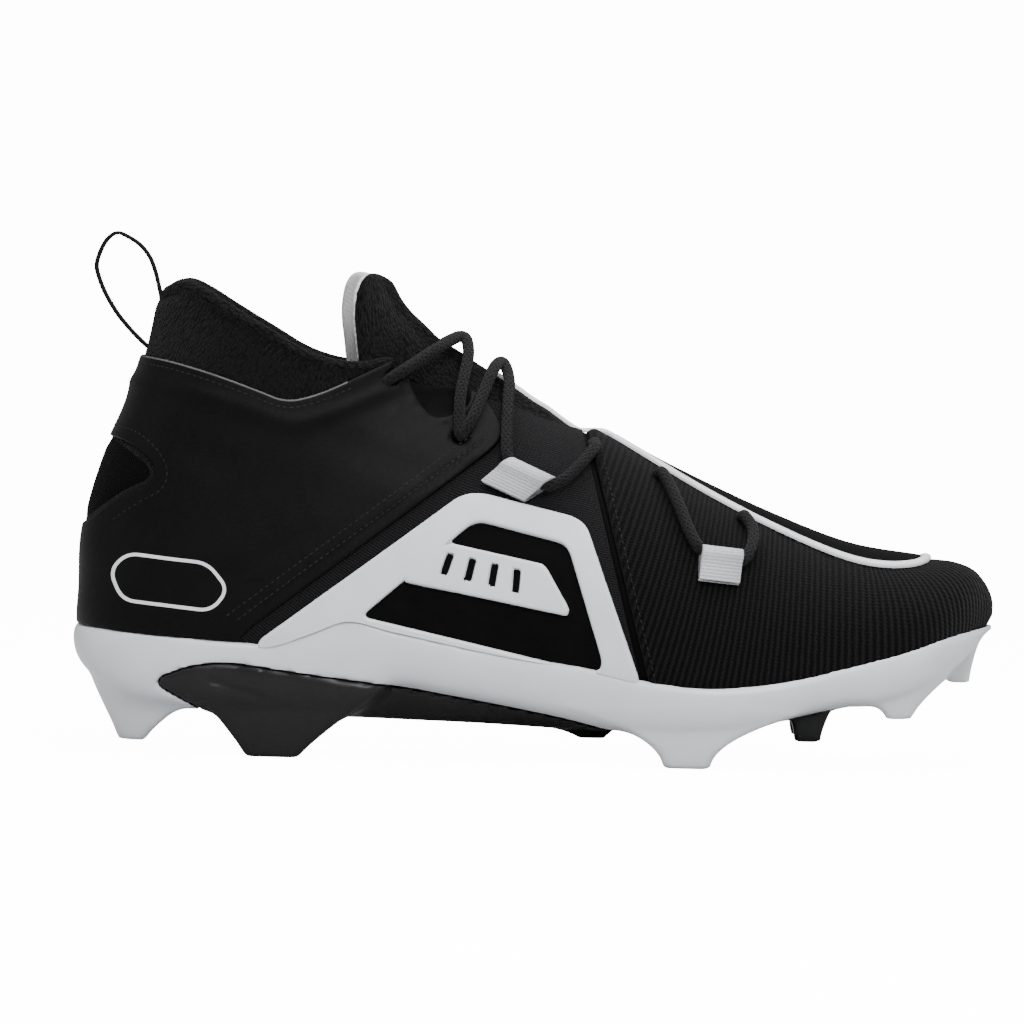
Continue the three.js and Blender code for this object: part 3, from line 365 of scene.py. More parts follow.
@dataclass
class LastRuler:
    """Lengths measured over the last, for patterns that follow the surface."""

    s_steps: int = 161
    t_steps: int = 201

    def __post_init__(self) -> None:
        """Adds up the lengths along and round the last on a grid."""
        self.s = np.linspace(0, LAST.top_row, self.s_steps)
        self.t = np.linspace(0, 2, self.t_steps)
        ss, tt = np.meshgrid(self.s, np.minimum(self.t, 2 - 1e-9), indexing="ij")
        p = LAST.point(ss, tt)
        start = int(LAST.VAMP_EDGE / LAST.top_row * (self.s_steps - 1))
        along = np.zeros((self.s_steps, self.t_steps))
        along[1:] = np.cumsum(np.linalg.norm(np.diff(p, axis=0), axis=-1), axis=0)
        self.along = along - along[start]
        around = np.zeros((self.s_steps, self.t_steps))
        around[:, 1:] = np.cumsum(np.linalg.norm(np.diff(p, axis=1), axis=-1), axis=1)
        self.around = around - around[:, self.t_steps // 2][:, None]

    def measure(self, s: Array, t: Array) -> Array:
        """Lengths along and round the last at places, as an array of pairs in millimetres."""
        a = np.clip(s / LAST.top_row, 0, 1) * (self.s_steps - 1)
        b = np.clip(np.mod(t, 2) / 2, 0, 1) * (self.t_steps - 1)
        i = np.minimum(a.astype(int), self.s_steps - 2)
        j = np.minimum(b.astype(int), self.t_steps - 2)
        u, v = a - i, b - j
        out = []
        for table in (self.along, self.around):
            low = table[i, j] * (1 - v) + table[i, j + 1] * v
            high = table[i + 1, j] * (1 - v) + table[i + 1, j + 1] * v
            out.append(low * (1 - u) + high * u)
        return np.stack(out, axis=-1)


RULER = LastRuler()


@dataclass
class Sheet:
    """Triangles over the last, each corner at a place s along it and t round it."""

    s: Array
    t: Array
    faces: Array
    snap: float = 0.08

    @classmethod
    def over(cls, stations: Array, turns: Array, closed: bool = False) -> "Sheet":
        """Grid over the last.

        Args:
            stations: places along the last.
            turns: places round it.
            closed: whether the last turn joins the first.

        Returns:
            The sheet.
        """
        rows, columns = len(stations), len(turns)
        index = np.arange(rows * columns).reshape(rows, columns)
        if closed and stations[0] == 0:
            index[0, columns // 2 + 1:] = index[0, 1:(columns + 1) // 2][::-1]
        if closed:
            index = np.hstack([index, index[:, :1]])
        a, b, c, d = index[:-1, :-1], index[:-1, 1:], index[1:, 1:], index[1:, :-1]
        faces = np.concatenate([
            np.stack([a, b, c], -1).reshape(-1, 3),
            np.stack([a, c, d], -1).reshape(-1, 3),
        ])
        keep = (faces[:, 0] != faces[:, 1]) & (faces[:, 1] != faces[:, 2]) & (faces[:, 2] != faces[:, 0])
        ss, tt = np.meshgrid(stations, turns, indexing="ij")
        return cls(ss.ravel(), tt.ravel(), faces[keep])

    def places(self, distance: Array = 0.0) -> Array:
        """The corners, off the last by a distance."""
        return LAST.off(self.s, self.t, np.broadcast_to(distance, self.s.shape))

    def split(self, value: Callable[["Sheet"], Array], drop: bool = False) -> "Sheet":
        """Cuts the triangles along the line where a value is zero.

        Args:
            value: gives a number for each corner of a sheet.
            drop: whether the negative side is left out.

        Returns:
            The cut sheet.
        """
        v = value(self)
        v = np.where(np.abs(v) < self.snap, 0.0, v)
        sign = np.sign(v).astype(int)
        signs = sign[self.faces]
        mixed = (signs.min(axis=1) < 0) & (signs.max(axis=1) > 0)
        faces = [tuple(f) for f in self.faces[~mixed]]
        new_s, new_t, made = [], [], {}

        def between(a: int, b: int) -> int:
            """Corner where the edge from a to b crosses zero."""
            key = (min(a, b), max(a, b))
            if key not in made:
                a, b = key
                u = v[a] / (v[a] - v[b])
                turn = self.t[b] - self.t[a]
                turn -= 2 * round(turn / 2)
                made[key] = len(self.s) + len(new_s)
                new_s.append(self.s[a] + u * (self.s[b] - self.s[a]))
                new_t.append((self.t[a] + u * turn) % 2)
            return made[key]

        for face in self.faces[mixed]:
            ring = []
            for a, b in zip(face, np.roll(face, -1)):
                ring.append((int(a), sign[a]))
                if sign[a] * sign[b] < 0:
                    ring.append((between(int(a), int(b)), 0))
            for way in (1, -1):
                part = [c for c, side in ring if side * way >= 0]
                faces += [(part[0], part[k], part[k + 1]) for k in range(1, len(part) - 1)]
        sign = np.concatenate([sign, np.zeros(len(new_s), int)])
        faces = np.array(faces)
        if drop:
            faces = faces[(sign[faces].min(axis=1) >= 0) & (sign[faces].max(axis=1) > 0)]
        cut = Sheet(np.concatenate([self.s, new_s]), np.concatenate([self.t, new_t]), faces, self.snap)
        return cut.tidy()

    def tidy(self) -> "Sheet":
        """The sheet without corners that no triangle uses."""
        used = np.unique(self.faces)
        place = np.full(len(self.s), -1)
        place[used] = np.arange(len(used))
        return Sheet(self.s[used], self.t[used], place[self.faces], self.snap)

    def trimmed(self, margin: Callable[["Sheet"], Array], depths: Sequence[float] = ()) -> "Sheet":
        """The part inside a margin, with lines cut at depths from its edge to round it by."""
        sheet = self.split(margin, drop=True)
        for depth in depths:
            sheet = sheet.split(lambda other: margin(other) - depth)
        return sheet


def linked(name: str, data: bpy.types.ID) -> bpy.types.Object:
    """New object in the scene."""
    made = bpy.data.objects.new(name, data)
    bpy.context.scene.collection.objects.link(made)
    return made


def baked(piece: bpy.types.Object) -> bpy.types.Mesh:
    """A piece's mesh with its modifiers applied."""
    return bpy.data.meshes.new_from_object(piece.evaluated_get(bpy.context.evaluated_depsgraph_get()))


def mesh_object(
    name: str,
    points: Array,
    faces: Sequence[Sequence[int]],
    finishes: Sequence["Finish"] = (),
    material_index: Array | None = None,
    uv: Array | None = None,
    values: dict[str, Array] | None = None,
    sharp: float = FRESH_EDGE,
) -> bpy.types.Object:
    """Makes a mesh object at the origin from points in metres.

    Args:
        name: the object's name.
        points: its corners.
        faces: its faces.
        finishes: its finishes.
        material_index: which of them each face has.
        uv: a pair for each corner, in millimetres over the surface.
        values: named numbers for each corner.
        sharp: edges with a larger angle stay sharp.

    Returns:
        The object, linked to the scene.
    """
    mesh = bpy.data.meshes.new(name)
    mesh.from_pydata(np.asarray(points).tolist(), [], [tuple(int(i) for i in f) for f in faces])
    for finish in finishes:
        mesh.materials.append(finish.material())
    if material_index is not None:
        mesh.polygons.foreach_set("material_index", np.asarray(material_index, np.int32))
    if uv is not None:
        corner = np.empty(len(mesh.loops), np.int32)
        mesh.loops.foreach_get("vertex_index", corner)
        layer = mesh.uv_layers.new(name="surface")
        layer.data.foreach_set("uv", np.asarray(uv, np.float32)[corner].ravel())
    for key, number in (values or {}).items():
        layer = mesh.attributes.new(key, "FLOAT", "POINT")
        layer.data.foreach_set("value", np.asarray(number, np.float32))
    mesh.polygons.foreach_set("use_smooth", np.ones(len(mesh.polygons), bool))
    mesh.update()
    mesh.set_sharp_from_angle(angle=sharp)
    return linked(name, mesh)


def shell_object(
    name: str,
    sheet: Sheet,
    high: Array | float,
    low: Array | float,
    finishes: Sequence["Finish"],
    *nodes: str,
    zones: Array | None = None,
    lining: int = 0,
    values: dict[str, Array] | None = None,
    uv: Array | None = None,
) -> bpy.types.Object:
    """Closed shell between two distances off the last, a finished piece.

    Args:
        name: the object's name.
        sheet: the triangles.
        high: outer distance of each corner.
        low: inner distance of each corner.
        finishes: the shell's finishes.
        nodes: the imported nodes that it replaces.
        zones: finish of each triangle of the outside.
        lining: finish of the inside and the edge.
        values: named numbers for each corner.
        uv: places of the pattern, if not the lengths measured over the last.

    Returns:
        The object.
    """
    count = len(sheet.s)
    outer, inner = sheet.places(high), sheet.places(low)
    f = sheet.faces
    way = np.cross(outer[f[:, 1]] - outer[f[:, 0]], outer[f[:, 2]] - outer[f[:, 0]])
    if np.einsum("ij,ij->i", way, LAST.normal(sheet.s, sheet.t)[f[:, 0]]).sum() < 0:
        f = f[:, ::-1]
    edges = np.concatenate([f[:, [0, 1]], f[:, [1, 2]], f[:, [2, 0]]])
    known = {(int(a), int(b)) for a, b in edges}
    rim = [(a, b) for a, b in known if (b, a) not in known]
    walls = [(b, a, a + count, b + count) for a, b in rim]
    faces = [tuple(x) for x in f] + [tuple(x) for x in f[:, ::-1] + count] + walls
    zone = np.zeros(len(f), int) if zones is None else np.asarray(zones)
    index = np.concatenate([zone, np.full(len(f) + len(walls), lining)])
    uv = RULER.measure(sheet.s, sheet.t) if uv is None else uv
    doubled = {key: np.concatenate([v, v]) for key, v in (values or {}).items()}
    points = LAST.to_frame(np.concatenate([outer, inner]))
    piece = mesh_object(name, points, faces, finishes, index, np.concatenate([uv, uv]), doubled)
    return finish_piece(piece, finishes[0].slot, *nodes)


def bevelled(margin: Array, radius: float, foot: float = 0.35) -> Array:
    """Share of full thickness at a distance from the edge: a quarter round that starts at foot."""
    u = 1 - np.clip(margin / radius, 0, 1)
    return foot + (1 - foot) * np.sqrt(1 - u * u)


def bump_line(distance: Array, width: float, height: float) -> Array:
    """Soft ridge (or trough, if height is negative) along a line at a distance."""
    return height * np.exp(-((distance / width) ** 2))


@dataclass
class Boundaries:
    """Edges of the upper's pieces, as distances that are positive inside."""

    throat_half: Outline = (
        (0.28, 0.24), (0.35, 0.225), (0.385, 0.2), (0.42, 0.178), (0.47, 0.165), (0.51, 0.15), (0.54, 0.12),
        (0.56, 0.07),
    )
    rim_line: Outline = (
        (-0.1, 0.972), (0.07, 0.975), (0.085, 0.987), (0.103, 1.0), (0.125, 0.984), (0.15, 0.956),
        (0.192, 0.91), (0.236, 0.862), (0.264, 0.843), (0.288, 0.835), (0.315, 0.836), (0.343, 0.855),
        (0.37, 0.884), (0.4, 0.93), (0.6, 1.3),
    )
    sidewall_top: float = 38.0
    wall_top_heel: Outline = ((-0.02, 1.05), (0.0, 1.048), (0.08, 0.992), (0.19, 0.942))
    wall_top_middle: Sequence[Outline] = (
        ((0.216, 0.935), (0.262, 1.06), (0.297, 1.155), (0.345, 1.08)), ((0.3, 0.95), (0.36, 0.97)),
    )
    wall_top_front: Outline = (
        (0.46, 0.91), (0.559, 0.8), (0.614, 0.715), (0.679, 0.665), (0.734, 0.69), (0.788, 0.76),
        (0.842, 0.865), (0.897, 0.98), (0.95, 1.115), (0.985, 1.17), (1.0, 1.185),
    )
    eyelets: Outline = ((13.0, 0.77), (10.15, 0.74))
    eyelet_radius: float = 2.4
    eyelet_reach: float = 10.0

    def __post_init__(self) -> None:
        """Turns the tables into lines in millimetres."""
        self.rim = curve_through(scaled(self.rim_line, LAST.length, LAST.collar_height))
        self.wall_top = {}
        for side, middle in zip(Side, self.wall_top_middle):
            line = (*self.wall_top_heel, *middle, *self.wall_top_front)
            self.wall_top[side] = curve_through(scaled(line, LAST.length, self.sidewall_top))
        half = scaled(self.throat_half, LAST.length, LAST.ball_width)
        self.throat_outline = rounded(mirrored(half), 9)

    def throat(self, p: Array) -> Array:
        """Distance from the throat's opening, positive on the upper beside it."""
        over = -inside_by(self.throat_outline, p[..., 0], p[..., 1] - LAST.ridge(p[..., 0]))
        return np.where(p[..., 2] > LAST.instep_height / 2, over, FAR)

    def below_rim(self, p: Array, drop: float) -> Array:
        """Distance under the rim lowered by drop."""
        slope = 0.9
        return (self.rim(p[..., 0]) - drop - p[..., 2]) * slope

    def above_footbed(self, p: Array, lift: float) -> Array:
        """Height over the last's bottom raised by lift."""
        return p[..., 2] - LAST.footbed(p[..., 0]) - lift

    def above_wall(self, p: Array, rise: float) -> Array:
        """Height over the top edge of the sole's side wall."""
        lateral = self.wall_top[Side.LATERAL](p[..., 0])
        medial = self.wall_top[Side.MEDIAL](p[..., 0])
        return p[..., 2] - np.where(p[..., 1] < LAST.ridge(p[..., 0]), lateral, medial) - rise

    def off_eyelets(self, p: Array) -> Array:
        """Distance from the edge of the nearest eyelet hole."""
        best = np.full(p.shape[:-1], FAR)
        for at, turn in self.eyelets:
            for t in (turn, 2 - turn):
                place = LAST.point(np.array([at]), np.array([t]))[0]
                way = LAST.normal(np.array([at]), np.array([t]))[0]
                d = p - place
                deep = np.abs(d @ way) > self.eyelet_reach
                d = d - (d @ way)[..., None] * way
                ring = np.linalg.norm(d, axis=-1) - self.eyelet_radius
                best = np.minimum(best, np.where(deep, FAR, ring))
        return best

    @staticmethod
    def plain_side(points: Outline) -> list[tuple[float, float]]:
        """Line seen from the side, in millimetres."""
        return scaled(points, LAST.length, LAST.collar_height)

    @staticmethod
    def from_side(points: Outline, radius: float) -> Array:
        """Outline seen from the side, with its corners rounded."""
        return rounded(Boundaries.plain_side(points), radius)

    @staticmethod
    def within(points: Outline, radius: float, p: Array) -> Array:
        """Distance of places inside an outline seen from the side."""
        return inside_by(Boundaries.from_side(points, radius), p[..., 0], p[..., 2])


EDGES = Boundaries()


def linear(srgb: Sequence[float]) -> tuple[float, float, float, float]:
    """Colour as the shaders take it, from its everyday values."""
    c = np.array(srgb, float)
    out = np.where(c <= 0.04045, c / 12.92, ((c + 0.055) / 1.055) ** 2.4)
    return (*out.tolist(), 1.0)


@dataclass
class NodeBoard:
    """A node tree that is being wired."""

    tree: bpy.types.NodeTree

    def add(self, kind: str, values: dict | None = None, **settings: object) -> bpy.types.Node:
        """Adds a node.

        Args:
            kind: the node's type.
            values: numbers, or sockets to link from, by input name or number.
            settings: the node's own settings.

        Returns:
            The node.
        """
        node = self.tree.nodes.new(kind)
        for key, value in settings.items():
            setattr(node, key, value)
        self.fill(node, values or {})
        return node

    def fill(self, node: bpy.types.Node, values: dict) -> None:
        """Gives a node's inputs numbers, or sockets to link from."""
        for key, value in values.items():
            if isinstance(value, bpy.types.NodeSocket):
                self.tree.links.new(value, node.inputs[key])
            else:
                node.inputs[key].default_value = value

    def math(self, operation: str, *values: object) -> bpy.types.NodeSocket:
        """Result of a Math node on numbers or sockets."""
        return self.add("ShaderNodeMath", dict(enumerate(values)), operation=operation).outputs[0]

    def mix(self, share: object, low: object, high: object) -> bpy.types.NodeSocket:
        """Colour between two others."""
        return self.add("ShaderNodeMix", {0: share, 6: low, 7: high}, data_type="RGBA").outputs[2]

    def wave(self, value: object, power: float = 1.0) -> bpy.types.NodeSocket:
        """Bump once in each unit, from 0 to 1."""
        turned = self.math("MULTIPLY", value, 2 * math.pi)
        wave = self.math("MULTIPLY_ADD", self.math("SINE", turned), 0.5, 0.5)
        return self.math("POWER", wave, power)

    def noise(self, place: object, scale: float, detail: float = 2.0) -> bpy.types.NodeSocket:
        """Noise from 0 to 1."""
        values = {"Vector": place, "Scale": scale, "Detail": detail, "Roughness": 0.55}
        return self.add("ShaderNodeTexNoise", values).outputs[0]


def new_group(
    name: str, inputs: dict[str, float | None], outputs: Sequence[str]
) -> tuple[NodeBoard, dict, dict]:
    """Starts a shader node group.

    Args:
        name: the group's name.
        inputs: its inputs with their first values; None makes a vector input.
        outputs: its outputs, all plain numbers.

    Returns:
        The board, the input sockets by name and the output sockets by name.
    """
    tree = bpy.data.node_groups.new(name, "ShaderNodeTree")
    for key, value in inputs.items():
        kind = "NodeSocketVector" if value is None else "NodeSocketFloat"
        socket = tree.interface.new_socket(name=key, in_out="INPUT", socket_type=kind)
        if value is not None:
            socket.default_value = value
    for key in outputs:
        tree.interface.new_socket(name=key, in_out="OUTPUT", socket_type="NodeSocketFloat")
    board = NodeBoard(tree)
    start = board.add("NodeGroupInput")
    end = board.add("NodeGroupOutput")
    return board, {k: start.outputs[k] for k in inputs}, {k: end.inputs[k] for k in outputs}


class PatternBoard(NodeBoard):
    """Board of a pattern's group, with its two coordinates in pitches."""

    def __init__(self, name: str) -> None:
        """Starts the group with the usual sockets."""
        inputs = {"Place": None, "Across": 2.0, "Along": 1.0, "Roughen": 0.3}
        board, self.given, self.out = new_group(name, inputs, ("Height", "Tone"))
        super().__init__(board.tree)
        self.place = self.given["Place"]
        parts = self.add("ShaderNodeSeparateXYZ", {0: self.place}).outputs
        self.u = self.math("DIVIDE", parts[0], self.given["Across"])
        self.v = self.math("DIVIDE", parts[1], self.given["Along"])

    def shared(self, one: object, share: float, two: object) -> bpy.types.NodeSocket:
        """Sum of two heights by their shares."""
        return self.math("MULTIPLY_ADD", two, 1 - share, self.math("MULTIPLY", one, share))

    def stepped(self, value: object, by: object) -> bpy.types.NodeSocket:
        """Coordinate that moves on by half a pitch with each pitch of the other one."""
        return self.math("MULTIPLY_ADD", self.math("FLOOR", by), 0.5, value)

    def close(self, height: object, fuzz: object, tone: object) -> bpy.types.NodeTree:
        """Links the height, roughened by the fuzz, and the tone, and gives the tree."""
        total = self.math("MULTIPLY_ADD", fuzz, self.given["Roughen"], height)
        self.tree.links.new(total, self.out["Height"])
        self.tree.links.new(tone, self.out["Tone"])
        return self.tree


class Texture(Enum):
    """Patterns that a finish can have."""

    KNIT = "knit"
    TERRY = "terry"
    GRAIN = "grain"
    WEAVE = "weave"
    BRAID = "braid"


@dataclass
class PatternGroups:
    """Shader groups that give height and tone, each built once."""

    made: dict[Texture, bpy.types.NodeTree] = field(default_factory=dict)
    painted_edge_highlight: bpy.types.NodeTree | None = None

    def get(self, texture: Texture) -> bpy.types.NodeTree:
        """The group of a texture."""
        if texture not in self.made:
            self.made[texture] = getattr(self, f"_{texture.value}")()
        return self.made[texture]

    @staticmethod
    def _knit() -> bpy.types.NodeTree:
        """Upright ribs of small loops."""
        board = PatternBoard("rib_knit")
        column = board.math("MULTIPLY_ADD", board.noise(board.place, 0.35), board.given["Roughen"], board.u)
        rib = board.wave(column, 1.5)
        height = board.shared(rib, 0.72, board.wave(board.stepped(board.v, column), 0.8))
        fuzz = board.noise(board.place, 2.6)
        # The tone follows the rib, with lighter crests and darker hollows as painted shade; the noise gives
        # real fibre tone.
        tone = board.math("MULTIPLY", rib, board.math("MULTIPLY_ADD", fuzz, 0.8, 0.4))
        return board.close(height, fuzz, tone)

    @staticmethod
    def _terry() -> bpy.types.NodeTree:
        """Short loops standing every way."""
        board = PatternBoard("terry_loops")
        place = board.add("ShaderNodeCombineXYZ", {0: board.u, 1: board.v}).outputs[0]
        cells = board.add("ShaderNodeTexVoronoi", {"Vector": place, "Scale": 1.0, "Randomness": 1.0})
        loops = board.math("SUBTRACT", 1.0, cells.outputs["Distance"])
        fuzz = board.noise(board.place, 1.7, 3.0)
        # The tone follows the loops, with lighter tops and darker gaps as painted shade; the noise gives real
        # fibre tone.
        return board.close(loops, fuzz, board.math("MULTIPLY", loops, fuzz))

    @staticmethod
    def _grain() -> bpy.types.NodeTree:
        """Fine moulded grain with broad unevenness."""
        board = PatternBoard("fine_grain")
        scale = board.math("DIVIDE", 1.0, board.given["Across"])
        scaling = {0: board.place, "Scale": scale}
        place = board.add("ShaderNodeVectorMath", scaling, operation="SCALE").outputs[0]
        broad = board.noise(place, 0.03)
        return board.close(board.noise(place, 1.0, 3.0), broad, broad)

    @staticmethod
    def _weave() -> bpy.types.NodeTree:
        """Ribs across a tape, with threads between them."""
        board = PatternBoard("tape_weave")
        rib = board.wave(board.v, 0.7)
        height = board.shared(rib, 0.65, board.wave(board.stepped(board.u, board.v)))
        fuzz = board.noise(board.place, 1.5)
        # The tone follows the ribs, with lighter crests and darker hollows as painted shade; the noise gives
        # real thread tone.
        return board.close(height, fuzz, board.math("MULTIPLY", rib, fuzz))

    @staticmethod
    def _braid() -> bpy.types.NodeTree:
        """Two sets of strands that cross on a cord."""
        board = PatternBoard("cord_braid")
        strands = [board.wave(board.math(way, board.u, board.v), 0.6) for way in ("ADD", "SUBTRACT")]
        height = board.math("MAXIMUM", *strands)
        fuzz = board.noise(board.place, 1.2)
        # The tone follows the strands, with lighter crests and darker crossings as painted shade; the noise
        # gives real thread tone.
        return board.close(height, fuzz, board.math("MULTIPLY", height, fuzz))

    def edge_highlight_mask(self) -> bpy.types.NodeTree:
        """Mask along a piece's edge, broken up by noise, where a painted highlight lightens the colour."""
        if self.painted_edge_highlight is None:
            inputs = {"Margin": 5.0, "Place": None, "Reach": 0.8}
            board, given, out = new_group("edge_highlight_mask", inputs, ("Mask",))
            near = board.math("SUBTRACT", 1.0, board.math("DIVIDE", given["Margin"], given["Reach"]))
            near = board.math("MAXIMUM", near, 0.0)
            broken = board.noise(given["Place"], 0.25, 4.0)
            board.tree.links.new(board.math("MULTIPLY", near, broken), out["Mask"])
            self.painted_edge_highlight = board.tree
        return self.painted_edge_highlight


PATTERNS = PatternGroups()


@dataclass(frozen=True)
class Finish:
    """One finish of the shoe, with its pattern's sizes in millimetres."""

    name: str
    slot: str
    base: tuple[float, float, float]
    light: tuple[float, float, float]
    texture: Texture
    across: float
    along: float
    depth: float
    roughness: float
    roughen: float = 0.3
    tone: float = 1.0
    sheen: float = 0.0
    coat: float = 0.0
    specular: float = 0.5
    on_surface: bool = True
    # strength of a painted highlight along the piece's edge
    painted_edge_highlight: float = 0.0

    def material(self) -> bpy.types.Material:
        """The finish as a material, built at its first use."""
        title = f"{self.name}_look"
        if title in bpy.data.materials:
            return bpy.data.materials[title]
        made = bpy.data.materials.new(title)
        made.use_nodes = True
        board = NodeBoard(made.node_tree)
        if self.on_surface:
            place = board.add("ShaderNodeUVMap", uv_map="surface").outputs[0]
        else:
            own = board.add("ShaderNodeTexCoord").outputs["Object"]
            place = board.add("ShaderNodeMapping", {0: own, "Scale": (1 / MM,) * 3}).outputs[0]
        sizes = {"Place": place, "Across": self.across, "Along": self.along, "Roughen": self.roughen}
        pattern = board.add("ShaderNodeGroup", sizes, node_tree=PATTERNS.get(self.texture)).outputs
        share = board.math("MULTIPLY", pattern["Tone"], self.tone)
        colour = board.mix(share, linear(self.base), linear(self.light))
        # Painted highlight: the colour turns lighter along the piece's edge, where light catches its rounded
        # edge.
        if self.painted_edge_highlight:
            margin = board.add("ShaderNodeAttribute", attribute_name="margin").outputs["Fac"]
            given = {"Margin": margin, "Place": place}
            mask = board.add("ShaderNodeGroup", given, node_tree=PATTERNS.edge_highlight_mask()).outputs[0]
            amount = board.math("MULTIPLY", mask, self.painted_edge_highlight)
            colour = board.mix(amount, colour, linear([min(1.0, c + 0.14) for c in self.light]))
        bump = board.add("ShaderNodeBump", {"Height": pattern["Height"], "Distance": self.depth * MM})
        board.fill(made.node_tree.nodes["Principled BSDF"], {
            "Base Color": colour,
            "Roughness": board.math("MULTIPLY_ADD", pattern["Tone"], 0.08, self.roughness - 0.04),
            "Normal": bump.outputs[0],
            "Specular IOR Level": self.specular,
            "Sheen Weight": self.sheen,
            "Sheen Roughness": 0.5,
            "Coat Weight": self.coat,
            "Coat Roughness": 0.25,
        })
        return made


VAMP_KNIT = Finish("vamp_rib_knit", "black_knit", (0.008, 0.008, 0.009), (0.075, 0.072, 0.077), Texture.KNIT,
                   2.3, 1.3, 0.5, 0.85, sheen=0.02, specular=0.04)
FLAT_TEXTILE = Finish("side_textile", "black_knit", (0.03, 0.029, 0.031), (0.125, 0.12, 0.128), Texture.WEAVE,
                      0.9, 0.9, 0.3, 0.88, sheen=0.02, specular=0.05)
TERRY = Finish("collar_terry", "black_knit", (0.012, 0.012, 0.013), (0.125, 0.12, 0.127), Texture.TERRY,
               1.1, 1.3, 0.6, 0.95, sheen=0.02, specular=0.04)
LINING = Finish("dark_lining", "black_knit", (0.02, 0.02, 0.022), (0.07, 0.07, 0.075), Texture.KNIT,
                1.4, 1.0, 0.2, 0.9, specular=0.05)
SHELL_FILM = Finish("quarter_film", "black_synthetic", (0.006, 0.006, 0.007), (0.02, 0.019, 0.022),
                    Texture.GRAIN, 0.28, 0.28, 0.06, 0.5, specular=0.07)
HEEL_TEXTILE = Finish("tendon_textile", "black_knit", (0.006, 0.006, 0.007), (0.05, 0.048, 0.052),
                      Texture.WEAVE, 0.8, 0.8, 0.25, 0.85, specular=0.04)
BAND_FILM = Finish("band_film", "black_smooth", (0.02, 0.02, 0.021), (0.04, 0.039, 0.041), Texture.GRAIN,
                   0.3, 0.3, 0.04, 0.6, specular=0.015)
PALE_MOULDING = Finish("pale_moulding", "pale_moulding", (0.66, 0.68, 0.695), (0.71, 0.725, 0.74),
                       Texture.GRAIN, 0.5, 0.5, 0.03, 0.34, coat=0.12, specular=0.4, on_surface=False)
# The brace's edges carry a painted highlight.
BRACE_MOULDING = Finish("brace_moulding", "pale_moulding", (0.69, 0.71, 0.725), (0.74, 0.755, 0.765),
                        Texture.GRAIN, 0.4, 0.4, 0.04, 0.42, specular=0.35, painted_edge_highlight=0.3)
DARK_MOULDING = Finish("dark_moulding", "dark_moulding", (0.05, 0.049, 0.053), (0.09, 0.088, 0.093),
                       Texture.GRAIN, 0.4, 0.4, 0.03, 0.36, coat=0.04, specular=0.15, on_surface=False)
PALE_TAPE = Finish("pale_tape", "pale_tape", (0.47, 0.475, 0.49), (0.74, 0.745, 0.76), Texture.WEAVE,
                   1.1, 70.0, 0.4, 0.62, sheen=0.06, specular=0.25)
PALE_PIPING = Finish("pale_piping", "pale_tape", (0.7, 0.705, 0.72), (0.8, 0.805, 0.815), Texture.GRAIN,
                     0.4, 0.4, 0.04, 0.4, specular=0.35)
PALE_LINING = Finish("pale_lining", "pale_tape", (0.66, 0.66, 0.67), (0.8, 0.8, 0.81), Texture.KNIT,
                     1.2, 0.9, 0.15, 0.85, specular=0.2)
CORD = Finish("braided_cord", "black_cord", (0.008, 0.008, 0.009), (0.115, 0.11, 0.118), Texture.BRAID,
              1.6, 2.4, 0.4, 0.78, sheen=0.03, specular=0.07)
LOOP_TAPE = Finish("loop_tape", "black_cord", (0.012, 0.012, 0.013), (0.12, 0.115, 0.122), Texture.WEAVE,
                   0.8, 1.0, 0.2, 0.7, sheen=0.03, specular=0.07)
THREAD = Finish("sewing_thread", "black_cord", (0.05, 0.049, 0.053), (0.15, 0.145, 0.15), Texture.GRAIN,
                0.3, 0.3, 0.03, 0.7, specular=0.08, on_surface=False)
SEAM_EDGE = Finish("pale_seam_edge", "black_cord", (0.2, 0.2, 0.21), (0.36, 0.36, 0.37), Texture.GRAIN,
                   0.6, 0.6, 0.05, 0.6, specular=0.2)
INSOLE_CLOTH = Finish("insole_cloth", "insole_foam", (0.06, 0.06, 0.065), (0.16, 0.16, 0.165), Texture.WEAVE,
                      1.1, 1.1, 0.15, 0.9, specular=0.1, on_surface=False)


def facing(turns: Array, side: int) -> Array:
    """Turns given for the outer side, on either side of the foot."""
    return turns if side < 0 else 2 - turns


def finish_piece(piece: bpy.types.Object, slot: str, *nodes: str) -> bpy.types.Object:
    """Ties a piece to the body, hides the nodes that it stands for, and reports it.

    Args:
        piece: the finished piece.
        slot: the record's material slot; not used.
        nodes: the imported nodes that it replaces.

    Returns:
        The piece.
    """
    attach(piece, "root")
    if nodes:
        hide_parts(*nodes)
    log.info("%s: %d faces", piece.name, len(piece.data.polygons))
    return piece


def stations_by(length: float, first: float = 0.0, last: float | None = None) -> Array:
    """Places along the last about a length apart, measured where its sections lie furthest apart."""
    last = LAST.top_row if last is None else last
    fine = np.linspace(first, last, 400)
    turns = np.linspace(0.1, 0.9, 9)
    ss, tt = np.meshgrid(fine, turns, indexing="ij")
    run = np.linalg.norm(np.diff(LAST.point(ss, tt), axis=0), axis=-1).max(axis=1)
    total = np.concatenate([[0], np.cumsum(run)])
    return np.interp(np.linspace(0, total[-1], max(3, int(total[-1] / length))), total, fine)


def turns_by(length: float, girth: float = 280.0) -> Array:
    """Places round the whole last about a length apart."""
    count = 2 * int(girth / length / 2)
    return np.arange(count) * 2 / count


